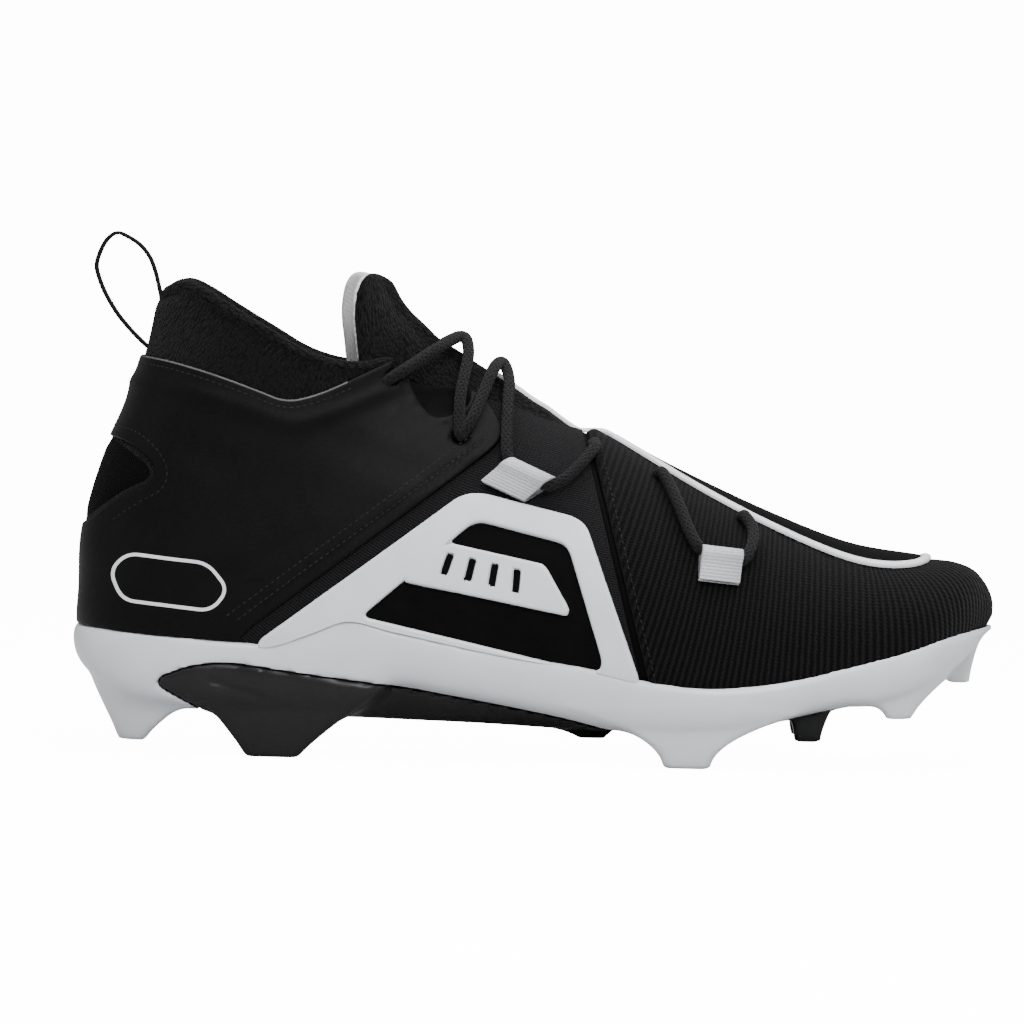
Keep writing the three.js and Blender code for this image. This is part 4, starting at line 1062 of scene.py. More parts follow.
@dataclass
class Upper:
    """The hollow upper: ribbed forefoot panel, side textile, towelling collar and dark lining."""

    cell: float = 2.0
    lasting: float = 1.5
    bead_rise: float = 3.4
    groove_depth: float = 0.9
    groove_reach: float = 0.11
    binding_height: float = 0.35
    rib_lean: float = 0.32
    toe_bend: float = 0.85
    toe_radius: float = 42.0
    roll_groove: float = 5.6
    roll_radius: float = 2.5
    roll_height: float = 3.3
    roll_depth: float = 3.4

    def margin(self, sheet: Sheet) -> Array:
        """Distance inside the upper's edges."""
        p = sheet.places()
        return np.min([
            EDGES.below_rim(p, self.bead_rise),
            EDGES.above_footbed(p, self.lasting),
            EDGES.throat(p),
            EDGES.off_eyelets(p),
        ], axis=0)

    def relief(self, s: Array, t: Array) -> Array:
        """Height of the outside over the last, with the panel's step, its groove and soft creases."""
        height = LAST.skin(s)
        behind = (s - LAST.VAMP_EDGE) / self.groove_reach
        height -= self.groove_depth * smooth(0.12, 0.3, behind) * (1 - smooth(0.8, 1.0, behind))
        side = np.where(t < 1, t, 2 - t)
        height += bump_line(s - LAST.VAMP_EDGE + 0.06, 0.03, self.binding_height)
        for at, lean, depth in ((4.9, 0.5, -0.35), (4.35, 0.35, -0.3), (3.7, 0.2, -0.2), (6.35, 0.7, -0.25)):
            line = s - at + lean * (side - 0.6)
            span = smooth(0.3, 0.5, side) * (1 - smooth(0.85, 1, side))
            height += bump_line(line, 0.13, depth) * span
        height += bump_line(s - 15.6, 1.0, 0.6) * (1 - smooth(0.75, 0.9, side))
        p = LAST.point(s, t)
        under_roll = np.abs(EDGES.rim(p[:, 0]) - p[:, 2] - self.roll_groove)
        height += bump_line(under_roll, 1.0, -0.8) * smooth(LAST.HEEL_EDGE, LAST.HEEL_CURVE, s)
        return height

    def rib_places(self, sheet: Sheet) -> Array:
        """Places of the knit: upright ribs that go round the toe and lean a little at the panel's edge."""
        p = sheet.places()
        uv = RULER.measure(sheet.s, sheet.t)
        lean = self.rib_lean * (1 - smooth(0.6, 0.85, p[:, 0] / LAST.length))
        ahead = p[:, 0] - self.toe_bend * LAST.length
        beside = np.abs(p[:, 1] - LAST.ridge(p[:, 0])) + 0.01
        bend = np.minimum(ahead, 0.0) + self.toe_radius * np.arctan2(np.maximum(ahead, 0.0), beside)
        upright = bend - lean * (p[:, 2] - LAST.footbed(p[:, 0]))
        uv[:, 0] = np.where(sheet.s < LAST.VAMP_EDGE, upright, uv[:, 0])
        return uv

    def build(self) -> None:
        """Makes the upper's shell and the padded roll round its rim."""
        edge = LAST.VAMP_EDGE
        stations = stations_by(self.cell)
        close = edge + np.array([-0.1, -0.06, -0.03, -0.012, 0.012, 0.03, 0.06, 0.09, 0.12])
        stations = np.unique(np.concatenate([stations[np.abs(stations - edge) > 0.13], close]))
        sheet = Sheet.over(stations, turns_by(self.cell), closed=True).trimmed(self.margin)
        p = sheet.places()
        centre = sheet.s[sheet.faces].mean(axis=1)
        spot = p[sheet.faces].mean(axis=1)
        collar = (centre > LAST.HEEL_CURVE - 1.2) & (spot[:, 2] > 0.6 * LAST.collar_height)
        zones = np.where(centre < edge - 0.012, 0, np.where(collar, 2, 1))
        # The groove behind the panel's edge takes the darker smooth film: painted shade in the gap.
        zones[(centre > edge + 0.01) & (centre < edge + self.groove_reach + 0.01)] = 4
        shell_object(
            "upper_knit", sheet, self.relief(sheet.s, sheet.t), -LAST.wall(sheet.s),
            (VAMP_KNIT, FLAT_TEXTILE, TERRY, LINING, BAND_FILM), "upper",
            zones=zones, lining=3, uv=self.rib_places(sheet),
        )
        self.build_roll()

    def build_roll(self) -> None:
        """Makes the padded roll that lies on the rim from one side of the throat to the other."""
        turns = np.linspace(-0.795, 0.795, 261)
        t = np.mod(turns, 2.0)
        s = bisect(
            lambda place: EDGES.below_rim(LAST.point(place, t), self.roll_height) < 0,
            np.full(len(t), float(LAST.HEEL_CURVE)), np.full(len(t), float(LAST.top_row)),
        )
        out = LAST.normal(s, t)
        path = LAST.point(s, t) - out * self.roll_depth
        up = np.cross(unit(np.gradient(path, axis=0)), out)
        up *= np.sign(up[:, 2:3])
        taper = np.sqrt(np.clip(1 - np.abs(turns / 0.8) ** 24, 0.02, 1))[:, None]
        rings = []
        for angle in np.linspace(0, 2 * math.pi, 24, endpoint=False):
            wide = self.roll_radius * math.cos(angle) * taper
            tall = self.roll_height * math.sin(angle) * taper
            rings.append(path + out * wide + up * tall)
        roll = tube_object("collar_roll", np.stack(rings, axis=1), TERRY)


def tube_object(
    name: str, rings: Array, finish: Finish, *nodes: str, sharp: float = FRESH_EDGE
) -> bpy.types.Object:
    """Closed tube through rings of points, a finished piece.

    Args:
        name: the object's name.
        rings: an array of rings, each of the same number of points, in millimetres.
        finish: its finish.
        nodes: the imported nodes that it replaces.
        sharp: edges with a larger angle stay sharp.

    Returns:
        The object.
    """
    count, size, _ = rings.shape
    index = np.arange(count * size).reshape(count, size)
    after = np.roll(index, -1, axis=1)
    faces = np.stack([index[:-1], after[:-1], after[1:], index[1:]], -1).reshape(-1, 4).tolist()
    ends = np.stack([rings[0].mean(axis=0), rings[-1].mean(axis=0)])
    faces += [(count * size, int(after[0, j]), int(index[0, j])) for j in range(size)]
    faces += [(count * size + 1, int(index[-1, j]), int(after[-1, j])) for j in range(size)]
    steps = np.linalg.norm(np.diff(rings.mean(axis=1), axis=0), axis=1)
    run = np.concatenate([[0], np.cumsum(steps)])
    girth = np.linalg.norm(np.roll(rings[count // 2], -1, axis=0) - rings[count // 2], axis=1)
    wrap = np.concatenate([[0], np.cumsum(girth)])[:size]
    uv = np.stack(np.meshgrid(wrap, run, indexing="xy"), axis=-1).reshape(-1, 2)
    uv = np.vstack([uv, [[0, 0], [0, run[-1]]]])
    points = LAST.to_frame(np.vstack([rings.reshape(-1, 3), ends]))
    piece = mesh_object(name, points, faces, [finish], uv=uv, sharp=sharp)
    turn_outward(piece)
    return finish_piece(piece, finish.slot, *nodes)


def turn_outward(piece: bpy.types.Object) -> None:
    """Merges a piece's doubles and turns its faces outward."""
    work = bmesh.new()
    work.from_mesh(piece.data)
    bmesh.ops.remove_doubles(work, verts=work.verts, dist=1e-6)
    bmesh.ops.recalc_face_normals(work, faces=work.faces)
    work.to_mesh(piece.data)
    work.free()


@dataclass
class QuarterShell:
    """Thin synthetic shell round heel and quarters, with soft ridges, a recess and a double seam."""

    gap: float = 0.3
    thickness: float = 1.1
    cell: float = 1.5
    edge: float = 0.7
    corner: float = 9.0
    seam_rise: float = 0.2
    outline: Outline = (
        (-0.1, 0.85), (0.062, 0.83), (0.1, 0.822), (0.15, 0.796), (0.195, 0.765), (0.226, 0.741),
        (0.262, 0.76), (0.31, 0.806), (0.358, 0.851), (0.38, 0.862), (0.4, 0.845), (0.424, 0.782),
        (0.456, 0.712),
        (0.461, 0.667), (0.172, 0.236), (0.168, 0.1), (-0.1, 0.1),
    )
    patch: Outline = (
        (-0.1, 0.657), (0.04, 0.657), (0.06, 0.645), (0.081, 0.618), (0.088, 0.59), (0.083, 0.566),
        (0.061, 0.545), (0.035, 0.51), (0.008, 0.468), (-0.1, 0.44),
    )
    recess: Outline = (
        (0.352, 0.796), (0.386, 0.822), (0.42, 0.862), (0.424, 0.745), (0.412, 0.72), (0.384, 0.705),
        (0.366, 0.742),
    )
    # lines seen from the side, with their width and height
    ridge: tuple[Outline, float, float] = (
        ((0.0, 0.775), (0.1, 0.768), (0.17, 0.735), (0.226, 0.7), (0.262, 0.712), (0.31, 0.752),
         (0.345, 0.78)), 2.6, 0.75,
    )
    pleats: Sequence[tuple[Outline, float, float]] = (
        (((0.06, 0.7), (0.11, 0.66), (0.16, 0.6)), 5.5, -0.35),
        (((0.3, 0.7), (0.35, 0.655), (0.42, 0.63)), 5.0, 0.45),
        (((0.345, 0.72), (0.375, 0.68), (0.43, 0.665)), 3.0, 0.4),
        (((0.24, 0.63), (0.3, 0.6), (0.36, 0.55)), 8.0, 0.35),
        (((0.02, 0.42), (0.1, 0.4), (0.18, 0.42)), 7.0, 0.3),
        (((0.1, 0.33), (0.17, 0.38), (0.25, 0.46)), 4.0, -0.25),
    )
    badge: Outline = (
        (0.042, 0.375), (0.06, 0.415), (0.145, 0.40), (0.168, 0.345), (0.15, 0.3), (0.055, 0.318),
    )
    badge_line: float = 0.55
    patch_corner: float = 5.0

    def margin(self, sheet: Sheet) -> Array:
        """Distance inside the shell's edges."""
        p = sheet.places()
        return np.min([
            EDGES.within(self.outline, self.corner, p),
            -EDGES.within(self.patch, self.patch_corner, p),
            EDGES.throat(p),
            EDGES.off_eyelets(p),
            EDGES.above_wall(p, self.seam_rise),
        ], axis=0)

    def recessed(self, p: Array) -> Array:
        """Distance inside the recess at the top eyelet."""
        return EDGES.within(self.recess, self.patch_corner, p)

    def relief(self, p: Array) -> Array:
        """Soft ridges, troughs and the recess, seen from the side."""
        x, z = p[:, 0], p[:, 2]
        height = 0.0
        for count, (points, width, rise) in [(24, self.ridge), *[(12, row) for row in self.pleats]]:
            line = spline(EDGES.plain_side(points), count)
            height += bump_line(near_line(line, x, z), width, rise)
        seam = EDGES.within(self.outline, self.corner, p)
        front = smooth(0.17, 0.22, x / LAST.length) * (z < 0.66 * LAST.collar_height)
        height += (bump_line(seam - 3.6, 0.7, -0.35) + bump_line(seam - 4.9, 0.8, 0.2)) * front
        inner = self.recessed(p)
        height += bump_line(inner + 0.8, 1.0, 0.45)
        return height * np.where(p[:, 1] < 0, 1.0, 0.85) - 0.75 * smooth(0.0, 1.3, inner)

    def build(self) -> None:
        """Makes the shell, the textile patch over the tendon and the heel's outline."""
        grid = Sheet.over(stations_by(self.cell, 7.5), turns_by(self.cell), closed=True)
        sheet = grid.trimmed(self.margin, [self.edge * k for k in (0.12, 0.4, 1.0)])
        sheet = sheet.split(lambda other: self.recessed(other.places()))
        margin = self.margin(sheet)
        p = sheet.places()
        high = self.gap + self.thickness * bevelled(margin, self.edge)
        high += self.relief(p) * smooth(0.3, 2.0, margin)
        # The recess at the top eyelet takes the duller dark film: painted shade in the cutout.
        dark = self.recessed(p[sheet.faces].mean(axis=1)) > 0
        shell_object(
            "quarter_film", sheet, high, self.gap, (SHELL_FILM, BAND_FILM), "quarter_shell",
            zones=dark.astype(int), values={"margin": margin},
        )
        self.build_patch()
        self.build_badge()

    def build_patch(self) -> None:
        """Makes the woven patch that fills the shell's opening behind the heel."""

        def margin(sheet: Sheet) -> Array:
            """Distance inside the patch, a little under the shell's edge."""
            return EDGES.within(self.patch, self.patch_corner, sheet.places()) - 0.4

        sheet = Sheet.over(stations_by(1.4, 12.0, 19.0), turns_by(1.4), closed=True)
        sheet = sheet.trimmed(margin, (0.5, 1.2))
        puff = 0.35 + 0.5 * smooth(0, 4, margin(sheet))
        shell_object("tendon_patch", sheet, puff, 0.05, [HEEL_TEXTILE])

    def build_badge(self) -> None:
        """Makes a plain thin outline on the outer side of the heel, with nothing in it."""

        def margin(sheet: Sheet) -> Array:
            """Distance inside the line."""
            p = sheet.places()
            ring = self.badge_line - np.abs(EDGES.within(self.badge, 4.0, p))
            return np.where(p[:, 1] < 0, ring, OUTSIDE)

        sheet = Sheet.over(stations_by(0.4, 10.5, 14.6), np.arange(0.12, 0.62, 0.003))
        sheet.snap = 0.02
        sheet = sheet.trimmed(margin)
        level = self.gap + self.thickness + self.relief(sheet.places())
        shell_object("heel_outline", sheet, level + 0.14, level - 0.1, [PALE_PIPING])


@dataclass
class MidfootBrace:
    """Pale moulded brace on the outer side, with a dark panel behind its window."""

    gap: float = 0.3
    thickness: float = 1.9
    cell: float = 1.1
    edge: float = 0.9
    outline: Outline = (
        (0.2, 0.2), (0.2, 0.238), (0.412, 0.547), (0.425, 0.556), (0.442, 0.556), (0.538, 0.512),
        (0.552, 0.494), (0.612, 0.178), (0.612, 0.1), (0.2, 0.1),
    )
    window: Outline = (
        (0.312, 0.295), (0.425, 0.489), (0.435, 0.496), (0.442, 0.496), (0.527, 0.457), (0.534, 0.442),
        (0.572, 0.214), (0.569, 0.196), (0.556, 0.193),
    )
    crossbar: Outline = (
        (0.38, 0.44), (0.407, 0.452), (0.508, 0.413), (0.536, 0.32), (0.533, 0.307), (0.355, 0.37),
    )
    notches: Sequence[Outline] = (
        ((0.402, 0.434), (0.412, 0.43), (0.404, 0.382), (0.394, 0.386)),
        ((0.426, 0.425), (0.436, 0.421), (0.43, 0.37), (0.42, 0.374)),
        ((0.45, 0.415), (0.46, 0.411), (0.456, 0.36), (0.446, 0.364)),
        ((0.474, 0.405), (0.484, 0.401), (0.482, 0.349), (0.472, 0.353)),
    )
    notch_depth: float = 1.1
    notch_slope: float = 0.4

    def margin(self, sheet: Sheet) -> Array:
        """Distance inside the brace's edges, without its foot, which runs on into the sole."""
        p = sheet.places()
        ring = np.minimum(EDGES.within(self.outline, 2.5, p), -EDGES.within(self.window, 3.0, p))
        return np.maximum(ring, EDGES.within(self.crossbar, 1.8, p))

    def notched(self, p: Array) -> Array:
        """Distance inside the nearest of the crossbar's slanted slots."""
        return np.max([EDGES.within(n, 1.0, p) for n in self.notches], axis=0)

    def foot(self, sheet: Sheet) -> Array:
        """Height over the sole's edge, on the outer side only."""
        p = sheet.places()
        return np.where(p[:, 1] < 0, EDGES.above_wall(p, -0.3), OUTSIDE)

    def build(self) -> None:
        """Makes the brace and the panel behind its window."""
        grid = Sheet.over(stations_by(self.cell, 5.5, 12.5), np.arange(0.1, 0.86, 0.0065))
        near = grid.trimmed(self.foot)
        sheet = near.trimmed(self.margin, [self.edge * k for k in (0.1, 0.35, 0.65, 1.0)])
        for depth in (0.0, self.notch_slope):
            sheet = sheet.split(lambda other: self.notched(other.places()) - depth)
        margin = self.margin(sheet)
        p = sheet.places()
        high = self.gap + self.thickness * bevelled(margin, self.edge)
        high -= self.notch_depth * smooth(0.0, self.notch_slope, self.notched(p))
        dark = self.notched(p[sheet.faces].mean(axis=1)) > self.notch_slope
        shell_object(
            "midfoot_brace", sheet, high, self.gap, (BRACE_MOULDING, BAND_FILM), "midfoot_frame",
            zones=dark.astype(int), values={"margin": margin},
        )
        panel = near.trimmed(lambda other: EDGES.within(self.window, 3.0, other.places()) + 1.5)
        shell_object("brace_panel", panel, 0.28, 0.03, [BAND_FILM])


@dataclass
class ToeBand:
    """Smooth band over the forefoot with its pale piping."""

    gap: float = 0.3
    thickness: float = 0.9
    piping_thickness: float = 1.5
    piping_width: float = 3.2
    cell: float = 1.1
    half: Outline = (
        (0.575, 0.012), (0.6, 0.04), (0.63, 0.078), (0.665, 0.125), (0.7, 0.157), (0.75, 0.192),
        (0.81, 0.22), (0.855, 0.226), (0.885, 0.208), (0.903, 0.17), (0.914, 0.115), (0.918, 0.05),
    )

    def distance(self, sheet: Sheet) -> Array:
        """Distance inside the band's outline, seen from above, on the top of the foot."""
        p = sheet.places()
        outline = rounded(mirrored(scaled(self.half, LAST.length, LAST.ball_width)), 12)
        return inside_by(outline, p[:, 0], p[:, 1] - LAST.ridge(p[:, 0]))

    def back(self, sheet: Sheet) -> Array:
        """Distance in front of the band's back edge."""
        return sheet.places()[:, 0] - self.half[0][0] * LAST.length

    def build(self) -> None:
        """Makes the band and its piping."""
        grid = Sheet.over(stations_by(self.cell, 1.0, 7.2), np.arange(0.45, 1.56, 0.0075))
        step = LAST.vamp_step + self.gap

        def band(sheet: Sheet) -> Array:
            """Distance inside the band."""
            return np.minimum(self.distance(sheet), self.back(sheet))

        def piping(sheet: Sheet) -> Array:
            """Distance inside the piping."""
            middle = self.distance(sheet) + self.gap + self.piping_width / 2
            return np.minimum(self.piping_width / 2 - np.abs(middle), self.back(sheet))

        sheet = grid.trimmed(band, (0.1, 0.3, 0.7))
        high = step + self.thickness * bevelled(band(sheet), 0.7)
        shell_object("toe_band_film", sheet, high, step, [BAND_FILM], "toe_band")
        edges = [self.piping_width / 2 * k for k in (0.08, 0.3, 0.62, 0.96)]
        sheet = grid.trimmed(piping, edges)
        high = step + self.piping_thickness * bevelled(piping(sheet), self.piping_width / 2, 0.3)
        shell_object("toe_piping_bead", sheet, high, step, [PALE_PIPING], "toe_piping")


@dataclass
class Tongue:
    """Padded tongue with a pale lining that shows along its back edge."""

    thickness: float = 4.2
    clearance: float = 0.5
    bulge: float = 2.2
    cell: float = 2.0
    outer_shorter: float = 4.5
    stripe_reach: tuple[float, float] = (6.62, 10.0)
    stripe_half: float = 0.011
    edge: float = 2.2
    outline: Outline = (
        (0.29, 0.8), (0.283, 0.93), (0.287, 0.985), (0.296, 1.012), (0.308, 1.018), (0.33, 1.005),
        (0.36, 0.985), (0.5, 0.95), (0.66, 0.75), (0.62, 0.58), (0.55, 0.62), (0.47, 0.68),
        (0.4, 0.745), (0.33, 0.785),
    )

    def level(self, s: Array, t: Array) -> Array:
        """Distance of the tongue's outside off the last."""
        side = np.where(t < 1, t, 2 - t)
        swell = self.bulge * smooth(0.91, 0.97, side) * smooth(LAST.VAMP_EDGE, LAST.VAMP_EDGE + 1, s)
        return swell - LAST.wall(s) - self.clearance

    def margin(self, sheet: Sheet) -> Array:
        """Distance inside the tongue's outline, a little shorter behind on the outer side."""
        p = sheet.places(self.level(sheet.s, sheet.t))
        back = smooth(1.02, 0.9, sheet.t) * smooth(0.5, 0.4, p[:, 0] / LAST.length)
        p[:, 0] -= self.outer_shorter * back
        return EDGES.within(self.outline, 4.0, p)

    def build(self) -> None:
        """Makes the padded tongue."""
        grid = Sheet.over(stations_by(self.cell, 6.0, 20.0), np.arange(0.5, 1.5, 0.01))
        sheet = grid.trimmed(self.margin, (0.3, 1.0, 2.2))
        margin = self.margin(sheet)
        level = self.level(sheet.s, sheet.t)
        puff = self.thickness / 2 * bevelled(margin, self.edge, 0.25)
        middle = level - self.thickness / 2
        faces = (TERRY, PALE_LINING)
        tongue = shell_object("tongue_pad", sheet, middle + puff, middle - puff, faces, "tongue", lining=1)
        self.build_stripe()

    def build_stripe(self) -> None:
        """Makes the thin pale cord along the instep's ridge, from the tongue onto the forefoot panel."""
        stations = np.linspace(*self.stripe_reach, 90)
        sheet = Sheet.over(stations, 1 + np.linspace(-1, 1, 7) * self.stripe_half)
        on_panel = 1 - smooth(LAST.VAMP_EDGE - 0.25, LAST.VAMP_EDGE + 0.15, sheet.s)
        level = self.level(sheet.s, sheet.t) * (1 - on_panel) + (LAST.vamp_step + 0.3) * on_panel
        dome = 1 - ((sheet.t - 1) / self.stripe_half) ** 2
        high = level + 0.35 + 0.9 * np.sqrt(np.maximum(dome, 0.0))
        shell_object("instep_stripe", sheet, high, level - 0.4, [PALE_PIPING])


@dataclass
class Lacing:
    """Braided laces, the folded tapes that hold them, and the pull loop behind the heel."""

    diameter: float = 3.8
    clearance: float = 0.6
    tape_thickness: float = 0.9
    upper_lace: Sequence[tuple[float, float, int, float]] = (
        (13.05, 0.75, -1, -0.1), (12.9, 0.79, -1, 0.85), (12.6, 0.87, -1, 0.6), (12.2, 1.0, -1, 0.42),
        (11.5, 0.91, 1, 0.55), (10.8, 0.81, 1, 0.8), (10.25, 0.75, 1, 0.55), (10.12, 0.742, 1, 0.4),
        (10.08, 0.785, 1, 0.9),
        (10.3, 0.9, 1, 0.95), (10.15, 1.0, -1, 0.95), (9.6, 0.92, -1, 0.9), (9.3, 0.84, -1, 0.9),
        (9.08, 0.765, -1, 0.95), (8.95, 0.728, -1, 1.0), (8.7, 0.711, -1, 1.05), (8.4, 0.706, -1, 1.05),
        (8.05, 0.702, -1, 1.05), (7.7, 0.728, -1, 0.95), (7.35, 0.775, -1, 0.95), (7.1, 0.825, -1, 1.0),
        (7.02, 0.86, -1, 0.6), (7.0, 0.875, -1, 0.1),
    )
    lower_lace: Sequence[tuple[float, float, float]] = (
        (6.22, 0.865, 0.2), (6.2, 0.855, 0.8), (6.14, 0.82, 0.95), (6.05, 0.765, 0.95), (5.95, 0.71, 0.95),
        (5.84, 0.684, 1.0), (5.62, 0.682, 1.0), (5.4, 0.687, 1.0), (5.27, 0.725, 1.0), (5.22, 0.78, 0.95),
        (5.29, 0.825, 0.8), (5.3, 0.835, 0.2),
    )
    # place along, place round, width, tilt, lift, tail, and how far the tail leans back
    tapes: Sequence[tuple[float, ...]] = (
        (8.4, 0.706, 15.6, -0.46, 1.05, 7.6, -0.53),
        (5.62, 0.682, 13.4, -0.1, 1.0, 8.0, -0.05),
    )
    loop_thickness: float = 1.2
    loop_width: float = 8.0
    loop_height: float = 37.0
    bead_inset: float = 2.2
    bead_rise: float = 3.8
    gap: float = 0.3
    loop_path: Outline = (
        (0.0, 0.0), (-0.01, 0.04), (-0.049, 0.19), (-0.103, 0.322), (-0.195, 0.432), (-0.311, 0.503),
        (-0.389, 0.53), (-0.457, 0.495), (-0.522, 0.403), (-0.57, 0.246), (-0.538, 0.111), (-0.478, -0.024),
        (-0.373, -0.189), (-0.257, -0.324), (-0.165, -0.415), (-0.08, -0.49),
    )

    def place(self, s: float, turn: float, side: int, lift: float) -> Array:
        """Point of a lace, given as in the part's source."""
        step = LAST.vamp_step if s < LAST.VAMP_EDGE else 0.0
        at, t = np.array([s]), np.array([facing(turn, side)])
        return LAST.off(at, t, np.array([step + lift * self.diameter]))[0]

    def cord(self, name: str, points: Sequence[Array], steps: int, node: str) -> None:
        """Makes a round cord through points.

        Args:
            name: the object's name.
            points: its path.
            steps: rings along it.
            node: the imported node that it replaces.
        """
        path = spline(points, steps)
        along = unit(np.gradient(path, axis=0))
        up = np.cross(along[0], (0.0, 0.3, 1.0))
        rings = []
        around = np.linspace(0, 2 * math.pi, 16, endpoint=False)[:, None]
        for centre, way in zip(path, along):
            up = unit(up - way * (up @ way))
            ring = np.cos(around) * up + np.sin(around) * np.cross(way, up)
            rings.append(centre + ring * self.diameter / 2)
        tube_object(name, np.array(rings), CORD, node)

    def tape(self, name: str, row: tuple[float, ...], side: int, node: str) -> None:
        """Makes a tape folded over a lace, with its tail on the upper.

        Args:
            name: the object's name.
            row: its row of the table of tapes.
            side: -1 on the outer side, 1 on the inner.
            node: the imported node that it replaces.
        """
        at, turn, width, tilt, lift, tail, shear = row
        radius = self.diameter / 2 + self.clearance + self.tape_thickness / 2
        flap = [(k, 1.5 - radius + k * (2 * radius - 1.9)) for k in (0, 0.12, 0.4, 0.7)]
        middle = [(x, -tail * (1 - k) ** 1.2 - 0.3) for k, x in flap]
        arc = np.linspace(-math.pi / 8, math.pi, 15)
        middle += [(radius * math.cos(a), radius * math.sin(a)) for a in arc]
        middle += [(-radius, -tail * k) for k in (0.2, 0.4, 0.6, 0.8, 1.0)]
        line = np.array(middle)
        ahead = unit(np.gradient(line, axis=0))
        half = np.full(len(line), self.tape_thickness / 2)
        half[[0, -1]] *= 0.55
        out = np.stack([ahead[:, 1], -ahead[:, 0]], axis=1) * half[:, None]
        there_and_back = np.vstack([line, line[::-1]])
        ring = np.vstack([out, -out[::-1]])
        s1, t1 = np.array([at]), np.array([facing(turn, side)])
        normal = LAST.normal(s1, t1)[0]
        down = unit(LAST.point(s1, t1 - 0.006)[0] - LAST.point(s1, t1 + 0.006)[0])
        down = down if down[2] < 0 else -down
        across = np.cross(down, normal)
        centre = self.place(at, turn, side, lift)
        cos, sin = math.cos(tilt), -side * math.sin(tilt)
        rings = []
        for v, squeeze in zip((-0.5, -0.485, -0.2, 0.2, 0.485, 0.5), (0.6, 1, 1, 1, 1, 0.6)):
            a, b = (there_and_back + ring * squeeze).T[..., None]
            w = v * width - side * shear * np.minimum(b - radius, 0.0)
            rings.append(centre + a * normal - (b * cos - w * sin) * down + (b * sin + w * cos) * across)
        tube_object(name, np.array(rings), PALE_TAPE, node, sharp=math.radians(60))

    def build(self) -> None:
        """Makes laces, tapes and the pull loop."""
        for way, word in ((1, "outer"), (-1, "inner")):
            points = [self.place(s, turn, way * side, lift) for s, turn, side, lift in self.upper_lace]
            self.cord(f"top_lace_{word}", points, 260, "lace_upper")
        for side, word in ((-1, "lateral"), (1, "medial")):
            points = [self.place(s, turn, side, lift) for s, turn, lift in self.lower_lace]
            self.cord(f"front_lace_{word}", points, 100, f"lace_lower_{word}")
            for row, level in zip(self.tapes, ("upper", "lower")):
                self.tape(f"{level}_tape_{word}", row, side, f"webbing_{level}_{word}")
        self.build_loop()

    def build_loop(self) -> None:
        """Makes the pull loop's ribbon."""
        back = LAST.point(np.array([float(LAST.RIM)]), np.array([0.0]))[0]
        seat_x = back[0] + (self.bead_inset - self.loop_thickness) / 2
        seat_z = float(EDGES.rim(back[0])) - self.bead_rise + self.gap
        path = [(seat_x + x * self.loop_height, seat_z + z * self.loop_height) for x, z in self.loop_path]
        line = spline(path, 90)
        ahead = unit(np.gradient(line, axis=0))
        out = np.stack([-ahead[:, 1], ahead[:, 0]], axis=1)
        half_w, half_t = self.loop_width / 2, self.loop_thickness / 2
        low = [(-1, -0.5), (-0.93, -1), (0, -1), (0.93, -1), (1, -0.5)]
        corners = low + [(u, -v) for u, v in low[::-1]]
        rings = []
        for p, o in zip(line, out * half_t):
            rings.append([(p[0] + o[0] * v, u * half_w, p[1] + o[1] * v) for u, v in corners])
        tube_object("heel_pull_loop", np.array(rings), LOOP_TAPE, "pull_loop")


def blend_min(a: Array, b: Array, reach: float) -> Array:
    """Lower of two distances, with the corner between them rounded over a reach."""
    h = np.clip(0.5 + 0.5 * (b - a) / reach, 0, 1)
    return b + (a - b) * h - reach * h * (1 - h)


def blend_max(a: Array, b: Array, reach: float) -> Array:
    """Higher of two distances, with the corner between them filled over a reach."""
    return -blend_min(-a, -b, reach)


def surface_net(values: Array, low: Array, step: float) -> tuple[Array, Array]:
    """Smooth closed surface where a field changes sign.

    Args:
        values: the field on a grid, positive inside.
        low: the grid's lowest corner.
        step: its pitch.

    Returns:
        Points and four-sided faces.
    """
    solid = values > 0
    shape = np.array(values.shape) - 1
    count = np.zeros(shape, int)
    total = np.zeros((*shape, 3))
    hits = np.zeros(shape)
    corners = [(i, j, k) for i in (0, 1) for j in (0, 1) for k in (0, 1)]

    def part(grid: Array, corner: tuple[int, int, int]) -> Array:
        """The grid's values at one corner of every cell."""
        return grid[tuple(slice(c, c + n) for c, n in zip(corner, shape))]

    for corner in corners:
        count += part(solid, corner)
    for axis in range(3):
        for corner in corners:
            if corner[axis]:
                continue
            other = tuple(c + (k == axis) for k, c in enumerate(corner))
            a, b = part(values, corner), part(values, other)
            cross = part(solid, corner) != part(solid, other)
            u = np.where(cross, a / np.where(cross, a - b, 1.0), 0.0)
            for k in range(3):
                total[..., k] += np.where(cross, corner[k] + (u if k == axis else 0.0), 0.0)
            hits += cross
    active = (count > 0) & (count < 8)
    index = np.full(shape, -1)
    index[active] = np.arange(active.sum())
    base = np.stack(np.nonzero(active), axis=1)
    points = low + (base + total[active] / hits[active][:, None]) * step
    faces = []
    for axis in range(3):
        one, two = [k for k in range(3) if k != axis]
        grid = np.moveaxis(solid, (axis, one, two), (0, 1, 2))
        cell = np.moveaxis(index, (axis, one, two), (0, 1, 2))
        a, b = grid[:-1, 1:-1, 1:-1], grid[1:, 1:-1, 1:-1]
        i, j, k = np.nonzero(a != b)
        quad = np.stack([cell[i, j, k], cell[i, j + 1, k], cell[i, j + 1, k + 1], cell[i, j, k + 1]], axis=1)
        flip = a[i, j, k] ^ (axis == 1)
        quad[~flip] = quad[~flip][:, ::-1]
        faces.append(quad)
    return points, np.concatenate(faces)


@dataclass(frozen=True)
class Stud:
    """A moulded stud: where its tip and base start and end, and how far it stands inside the sole's edge."""

    tip: tuple[float, float]
    base: tuple[float, float]
    reach: float
    root: float
    inset: tuple[float, float]
    width: float
    flare: float
    apart: float = 0.0


